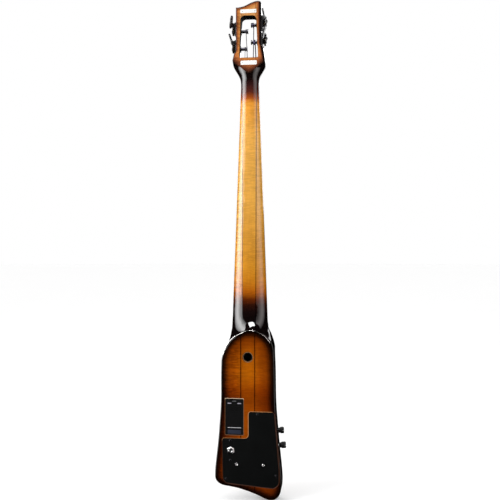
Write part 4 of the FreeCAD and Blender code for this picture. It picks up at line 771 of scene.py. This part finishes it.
def winding(letter, lane, thick, side, wind_x, colour):
    """The string's turns on its post, from where it arrives to the eye: a bending lead, then a coil."""
    post_z = JOINTS[f"post_{letter}_turn"]["pos_m"][2] / MM
    reach = POST_RADIUS + thick / 2 + WRAP_GAP
    nut_x = lane * LANE_WIDTH
    nut_y = NUT_CREST_Y + NUT_ARCH - math.sqrt(NUT_ARCH ** 2 - nut_x ** 2) - STRING_LIFT - thick / 2
    run = Vector((0, POST_Y - reach - nut_y, post_z - NUT_Z)).normalized()
    contact = Vector((0, -run.z, run.y))
    turns = max(1.5, round((WRAP_WIDTH - thick * 0.3) / (thick * 1.04) * 2) / 2 + 0.5)
    points, sizes = [], []
    eye_x = wind_x - side * WRAP_WIDTH
    count = int(turns * STEPS_PER_TURN)
    for step in range(count + 1):
        share = step / count
        turn = 2 * math.pi * turns * share
        along = wind_x + (eye_x - wind_x) * min(1.0, share * 1.04)
        radius = reach - (WRAP_GAP + thick / 2 - 0.8) * max(0.0, (share - 0.9) / 0.1) * 0.5
        place = Vector((along, POST_Y, post_z)) + radius * (math.cos(turn) * contact + math.sin(turn) * run)
        points.append(place * MM)
        sizes.append(thick / 2 * (1 - 0.35 * max(0.0, (share - 0.8) / 0.2)) * MM)
    eye = Vector((eye_x, POST_Y, post_z))
    outward = (points[-1] / MM - eye).normalized()
    for reach_in in (3.6, 2.6, 0.0, -2.6, -4.6, -6.2):
        points.append((eye + outward * reach_in) * MM)
        sizes.append((EYE_RADIUS if reach_in > -6 else EYE_RADIUS - 0.04) * MM)
    finish = round_silk(f"silk_post_{letter}", colour, POST_Y, post_z)
    lead = tube(f"winding_lead_{letter}", points[:LEAD_STEPS + 1], sizes, None, "string_wound", finish)
    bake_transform(lead)
    tube(
        f"winding_{letter}", points[LEAD_STEPS:], sizes[LEAD_STEPS:], f"post_{letter}", "string_wound",
        finish)


BLADE_EDGE = [
    (2.6, 7.0), (4.2, 8.2), (6.6, 8.6), (9.6, 9.3), (12.0, 11.2), (13.6, 14.2), (14.0, 17.4), (13.2, 20.8),
    (11.2, 23.6), (8.4, 25.4), (5.6, 25.9), (3.0, 25.0), (1.2, 23.6), (0, 23.1)]
BLADE_MIDDLE, BLADE_HALF, BLADE_WIDENING = 16.5, 2.3, 1.16
KEY_START = -10.0


def tuning_key(letter, angle):
    """A two-lobed dished blade on a collar."""
    turn = math.radians(angle)
    base = Vector(JOINTS[f"key_{letter}_turn"]["pos_m"]) / MM
    wide = Vector((math.sin(turn), 0, math.cos(turn)))
    thick = Vector((math.cos(turn), 0, -math.sin(turn)))

    def to_space(u, v, level):
        lobe = 1 - ((abs(u) - 6.8) / 5.6) ** 2 - ((v - BLADE_MIDDLE) / 7.5) ** 2
        dished = 1 - 0.42 * max(0.0, lobe)
        across = wide * u * BLADE_WIDENING + thick * level * dished
        return (Vector((base.x, KEY_START + v, base.z)) + across) * MM

    def loop_at(share, level):
        return [to_space(u * share, BLADE_MIDDLE + (v - BLADE_MIDDLE) * share, level) for u, v in outline]

    outline = BLADE_EDGE + [(-u, v) for u, v in reversed(BLADE_EDGE[:-1])]
    builder = bmesh.new()
    rim = ((0.9, -BLADE_HALF), (0.97, -1.9), (1.0, -0.9), (1.0, 0.9), (0.97, 1.9), (0.9, BLADE_HALF))
    made = rings(builder, [loop_at(share, level) for share, level in rim], closed_ends=False)
    # the blade's two faces are built as strips so that they can dish
    for ring, level in ((made[0], -BLADE_HALF), (made[-1], BLADE_HALF)):
        previous = ring
        for share in (0.72, 0.52, 0.3, 0.12):
            inner = [builder.verts.new(point) for point in loop_at(share, level)]
            stitch(builder, previous, inner)
            previous = inner
        builder.faces.new(previous)
    blade = piece(
        f"key_blade_{letter}", mesh_from(builder, "blade"), f"key_{letter}", "tuner_black", smooth_angle=50)
    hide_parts(f"tuning_key_{letter}")
    turned(
        f"key_collar_{letter}",
        [(3.2, 0.1), (3.5, 0.4), (3.5, 1.4), (2.5, 1.8), (2.4, 3.0), (3.3, 3.6), (3.3, 6.0), (2.7, 7.4),
         (2.3, 9.6)],
        spot(base.x, KEY_START, base.z), OUT_OF_BACK, f"key_{letter}", "tuner_black", 32)


def tuner_screws(letter, side):
    """The two screws of one tuner's frame."""
    post_z = JOINTS[f"post_{letter}_turn"]["pos_m"][2] / MM
    for number, y in enumerate((-45.4, -20.6)):
        head = screw_head(
            f"tuner_screw_{letter}_{number + 1}", spot(side * 35.9, y, post_z - 8.8), (side, 0, 0), 2.2, 1.2,
            True, "instrument", "tuner_black", DARK_SCREW, turn=0.4 + number)
        if letter == "g" and number:
            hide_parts("tuner_screws")


for letter, (lane, thick, side, wind_x, angle, colour) in TUNERS.items():
    winding(letter, lane, thick, side, wind_x, colour)
    tuning_key(letter, angle)
for letter, (_, _, side, *_) in TUNERS.items():
    tuner_screws(letter, side)

# ---- a near-black matt liner inside the head slot
SLOT_MIDDLE, SLOT_FOOT = 800, 761
# x, z, radius and first angle
SLOT_CORNERS = (
    (20, 866.5, 11, 0), (-20, 866.5, 11, 90), (-24.2, SLOT_FOOT, 3, 180), (24.2, SLOT_FOOT, 3, 270))


def slot_dark_liner():
    """A thin liner from the slot's front edge, which drops at its foot, to just below the head's back."""
    outline = []
    for x, z, radius, start in SLOT_CORNERS:
        centre_x = x - math.copysign(radius, x)
        centre_z = z - radius if z > SLOT_MIDDLE else z + radius
        for step in range(7):
            turn = math.radians(start + 15 * step)
            outline.append((centre_x + radius * math.cos(turn), centre_z + radius * math.sin(turn)))
    builder = bmesh.new()
    loops = []
    for inset, at_back in ((0.12, True), (0.12, False), (0.32, False), (0.32, True)):
        loop = []
        for x, z in outline:
            u = x - math.copysign(inset, x)
            v = z + (inset if z < SLOT_MIDDLE - 10 else -inset)
            front = -48.8 + 0.05 * (z - SLOT_FOOT) if z > SLOT_FOOT + 4.5 else -29.5
            loop.append(spot(u, head_level(z) - 0.9 if at_back else front, v))
        loops.append(loop)
    made = rings(builder, loops, closed_ends=False)
    stitch(builder, made[-1], made[0])
    piece("slot_dark_liner", mesh_from(builder, "slot_dark_liner"), "instrument", "dark_stripe", SLOT_BLACK)


slot_dark_liner()

# ---- the arch where the heel meets the back: a bright metal bead paints the highlight of its arris
def smoothed(corners, steps):
    """Points on a smooth curve from the second corner towards the last but one; the end ones guide it."""
    path = []
    for span in zip(corners, corners[1:], corners[2:], corners[3:]):
        for step in range(steps):
            share = step / steps
            weights = (
                -share / 2 + share ** 2 - share ** 3 / 2, 1 - 2.5 * share ** 2 + 1.5 * share ** 3,
                share / 2 + 2 * share ** 2 - 1.5 * share ** 3, (share ** 3 - share ** 2) / 2)
            path.append([
                sum(weight * corner[axis] for weight, corner in zip(weights, span)) for axis in (0, 1)])
    return path


ARCH = smoothed(UPPER_EDGE[2:3] + UPPER_EDGE[2:-1] + UPPER_EDGE[-2:-1], 8)
tube(
    "arch_highlight_bead", [spot(x, -0.45, z - 0.2) for x, z in ARCH], [0.9 * MM] * len(ARCH), "instrument",
    "core_maple", ARCH_HIGHLIGHT_BEAD)

# ---- blank plates' pins
for number, (x, z) in enumerate(((-16, 748), (16, 748), (-16, 877), (16, 877))):
    screw_head(
        f"plate_pin_{number + 1}", spot(x, head_level(z) + 0.75, z), (0, 1, -0.0513), 1.5, 0.7, False,
        "instrument", "stud_steel", turn=0.5 + number, dome=0.7)

# ---- knobs
def ridges(count, depth, low, high):
    """A flute that cuts count grooves between two heights."""
    def flute(angle, radius, height):
        return -depth * (0.5 - 0.5 * math.cos(angle * count)) if low < height < high else 0.0
    return flute


KNOB_GAP, KNOB_LENGTH = 0.8, 14.6
for name, longer in (("volume", 0.0), ("tone", 1.6)):
    joint = JOINTS[f"{name}_turn"]
    axis = Vector(joint["axis"])
    if axis.x > 0:
        axis.negate()
    origin = Vector(joint["pos_m"]) + axis * KNOB_GAP * MM
    end = KNOB_LENGTH + longer
    grip = turned(
        f"{name}_grip",
        [(5.6, 0), (6.4, 0.4), (6.5, 1.2), (6.5, 3.4), (6.2, 3.8), (6.2, 4.4), (7.7, 5.0), (8.2, 5.6),
         (8.2, 6.2), (8.2, end - 2.4), (8.1, end - 1.5), (7.6, end - 0.7), (6.9, end - 0.25),
         (6.2, end - 0.05), (5.4, end), (4.8, end - 0.5), (3.6, end - 0.9), (1.8, end - 1.1),
         (0.5, end - 1.15)],
        origin, axis, name, "knob_black", 144, ridges(24, 0.62, 5.9, end - 1.2), smooth_angle=50)
    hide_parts(f"{name}_knob")
    place = Matrix.Translation(origin) @ axes_for(axis)
    slab(
        f"{name}_index", rounded(0.55, 3.2, 0.5, (0, 5.2)), end - 1.4, end + 0.25,
        lambda u, v, level, place=place: place @ spot(u, v, level), name, "blank_white", 0.2)
    turned(
        f"{name}_set_screw", [(1.5, 6.0), (1.5, 6.75), (1.1, 6.9), (0.9, 6.3), (0.5, 6.3)],
        place @ spot(0, 0, 2.3), place.to_3x3() @ Vector((0, 1, 0)), name, "screw_steel", 24,
        finish=DARK_SCREW)

# ---- jacks
def hexagon(angle, radius, height):
    """A flute that makes a lathe piece six-sided."""
    return radius * (1 / math.cos((angle % (math.pi / 3)) - math.pi / 6) - 1)


OUTPUT_JACK = spot(43.4, 0, -237)
JACK_MOUTH = [(5.6, 2.4), (5.3, 2.55), (3.9, 2.55), (3.3, 2.2), (3.3, -7.0), (0.4, -7.0)]
THREAD = [(5.4 + 0.18 * (step % 2), -0.6 + 0.3 * step) for step in range(11)]
washer = turned(
    "output_washer", [(10.4, -1.0), (10.5, -0.8), (10.4, -0.5), (9.0, -0.45), (5.0, -0.45)],
    OUTPUT_JACK, OUT_OF_BACK, "instrument", "jack_chrome", 60)
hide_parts("output_jack")
turned(
    "output_nut", [(7.6, -0.5), (8.3, -0.2), (8.3, 0.6), (7.4, 1.5), (6.9, 1.6), (5.4, 1.6)],
    OUTPUT_JACK, OUT_OF_BACK, "instrument", "jack_chrome", 72, hexagon, smooth_angle=24)
turned(
    "output_barrel", [(5.4, -14.0), (5.4, -0.8)] + THREAD + JACK_MOUTH, OUTPUT_JACK, OUT_OF_BACK,
    "instrument", "jack_chrome", 48)
turned(
    "output_throat", [(3.1, 2.0), (3.1, -6.6), (2.2, -6.6), (2.2, 1.6), (2.4, 1.95)][::-1],
    OUTPUT_JACK, OUT_OF_BACK, "instrument", "lead_black", 32)
SMALL_JACK_Z = -271
for name, x in (("phones_jack", 28.3), ("aux_jack", -39.4)):
    ring = turned(
        f"{name}_nut",
        [(4.5, -1.0), (4.6, -0.7), (4.6, 0.2), (4.3, 0.6), (3.2, 0.6)],
        spot(x, 0, SMALL_JACK_Z), OUT_OF_BACK, "instrument", "jack_chrome", 96, ridges(24, 0.22, -0.9, 0.4))
    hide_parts(name)
    turned(
        f"{name}_barrel",
        [(3.0, -9.0), (3.0, 1.2), (2.8, 1.4), (2.2, 1.4), (1.8, 1.1), (1.8, -6.0), (0.3, -6.0)],
        spot(x, 0, SMALL_JACK_Z), OUT_OF_BACK, "instrument", "jack_chrome", 40)

# ---- cover screws
SCREWS = ((-24.7, -144.5), (44.3, -212.0), (44.3, -262.0), (55.0, -309.0), (-71.5, -297.0))
for number, (x, z) in enumerate(SCREWS):
    head = screw_head(
        f"cover_screw_{number + 1}", spot(x, -1.2, z), OUT_OF_BACK, 3.1, 1.3, True, "instrument",
        "screw_steel", DARK_SCREW, turn=0.3 + 0.7 * number)
    if not number:
        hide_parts("cover_screws")

# ---- battery bay
def facing_back(u, v, level):
    return spot(u, level, v)


BAY_X = 34.2


def bay_slab(name, half_u, half_v, corner, at, lower, upper, round_by, body, slot, finish=None):
    """A thin plate in the battery bay with its middle at (x, z) and its faces at y lower and upper."""
    slab(name, rounded(half_u, half_v, corner, at), lower, upper, facing_back, body, slot, round_by, finish)


# two light grey bars beside the latch notch: painted highlights on the frame's edges
for number, x in enumerate((BAY_X - 12.6, BAY_X + 12.6)):
    bay_slab(
        f"lid_edge_highlight_bar_{number + 1}", 4.8, 1.2, 0.5, (x, -117.6), -2.6, -1.1, 0.35, "instrument",
        "box_plastic", HIGHLIGHT_BAR_GREY)
bay_slab("latch_lip", 5.0, 0.7, 0.4, (BAY_X, -112.0), -3.0, -0.9, 0.3, "latch", "lid_plastic", LIP_GREY)
# a light grey bead along the lid's lower edge: painted reflection on its bevel
bay_slab("lid_edge_reflection_bead", 17.4, 0.75, 0.5, (BAY_X, -179.1), -2.6, -1.1, 0.45, "lid", "lid_plastic", REFLECTION_GREY)
bay_slab("pad_cover", 16.9, 5.1, 1.2, (BAY_X, -189.5), -1.4, -0.7, 0.3, "instrument", "box_plastic", PAD_BLUE)
for number in range(4):
    at = (BAY_X, -128.0 - 3.0 * number)
    bay_slab(f"lid_rib_{number + 1}", 11.0, 0.5, 0.4, at, -2.2, -1.35, 0.3, "lid", "lid_plastic")

# ---- bridge wheels
for name in ("bass", "treble"):
    x, _, z = (value / MM for value in JOINTS[f"wheel_{name}_turn"]["pos_m"])
    wheel = turned(
        f"{name}_wheel",
        [(5.0, 0), (7.4, 0), (8.0, 0.5), (8.0, 2.5), (7.4, 3.0), (5.4, 3.0), (4.9, 2.7), (3.4, 2.7)],
        spot(x, -60.2, z), OUT_OF_BACK, f"wheel_{name}", "wheel_brass", 120, ridges(30, 0.35, 0.3, 2.7))
    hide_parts(f"bridge_wheel_{name}")

low, high = CAD_BOX

# ---- camera, light and floor
MIDDLE = (low + high) / 2
VIEW_TURN = math.radians(187)
CAMERA_REACH = 1.75
aim = Vector((-0.0058, 0, MIDDLE.z - 0.0017))
camera_data = bpy.data.cameras.new("camera")
camera_data.lens = 50.0
camera_data.clip_start = 0.05
camera = bpy.data.objects.new("camera", camera_data)
bpy.context.scene.collection.objects.link(camera)
outwards = Vector((math.sin(VIEW_TURN), -math.cos(VIEW_TURN), 0))
upright = axes_for(outwards, outwards.cross((0, 0, -1)))
camera.matrix_world = Matrix.Translation(aim + outwards * CAMERA_REACH) @ upright
bpy.context.scene.camera = camera


def softbox(name, at, target, width, height, glow, tint=(1, 1, 1), only_reflected=True):
    """A rectangular lamp of a given radiance; the ones that only reflect leave the diffuse colours alone."""
    light = bpy.data.lights.new(name, "AREA")
    light.shape, light.size, light.size_y = "RECTANGLE", height, width
    light.energy, light.color = glow * math.pi * width * height, tint
    item = bpy.data.objects.new(name, light)
    bpy.context.scene.collection.objects.link(item)
    item.matrix_world = Matrix.Translation(at) @ axes_for(Vector(at) - Vector(target), (0, 0, 1))
    item.visible_diffuse = not only_reflected
    return item


PANEL_SHARES, PANEL_STEP = (1.0, 0.72, 0.46, 0.22), 0.04  # nested lamps, each this much nearer, fade the rim
PANEL_WIDTH, PANEL_HEIGHT = 2.6, 3.2
PANELS = (("left_panel", 1.83, 0.86, 2.9, (1, 1, 1)), ("right_panel", -1.76, 0.94, 0.7, (1.0, 0.93, 0.92)))
for number, share in enumerate(PANEL_SHARES):
    near = 1 - PANEL_STEP * number
    for name, x, y, glow, tint in PANELS:
        softbox(
            f"{name}_{number + 1}", (x * near, y * near, 1.0), (0, 0, 1.0), PANEL_WIDTH * share,
            PANEL_HEIGHT + share, glow, tint)
softbox("top_box", (0.1, 1.05, 2.05), (0, 0, 0.09), 0.66, 0.66, 26)
softbox("overhead", (0, -1.15, 1.95), (0, -1.15, 0), 3.8, 1.4, 16)
softbox("front_fill", (-0.6, -2.2, 1.3), (0, 0, 0.3), 1.6, 1.6, 3.2)
key = softbox("shaping_key", (1.9, 1.3, 0.7), (0, 0, 0.3), 1.0, 1.6, 8.0, only_reflected=False)
key.visible_glossy = False

world = bpy.data.worlds.new("studio")
bpy.context.scene.world = world
world.use_nodes = True
world.node_tree.nodes["Background"].inputs["Color"].default_value = (1.0, 1.0, 1.0, 1)
world.node_tree.nodes["Background"].inputs["Strength"].default_value = 1.0
world.cycles_visibility.glossy = False

FLOOR_GAP = 0.004
floor_shade = Shade("floor_pale", Specular_IOR_Level=0.1)
mottle = floor_shade.noise((0.002, 0.002, 0.002), 3)
floor_shade.colour(floor_shade.mix(mottle, (0.9, 0.9, 0.9), (0.93, 0.93, 0.93)))
floor_shade.shader.inputs["Emission Color"].default_value = (1, 1, 1, 1)
floor_shade.shader.inputs["Emission Strength"].default_value = 0.12
floor_shade.rough(floor_shade.plus(0.8, floor_shade.times(mottle, 0.1)))
builder = bmesh.new()
bmesh.ops.create_circle(builder, cap_ends=True, radius=30, segments=64)
floor = bpy.data.objects.new("floor", mesh_from(builder, "floor"))
floor.data.materials.append(floor_shade.material)
floor.location.z = low.z - FLOOR_GAP
bpy.context.scene.collection.objects.link(floor)
floor.visible_glossy = False

bpy.context.scene.view_settings.view_transform = "Standard"
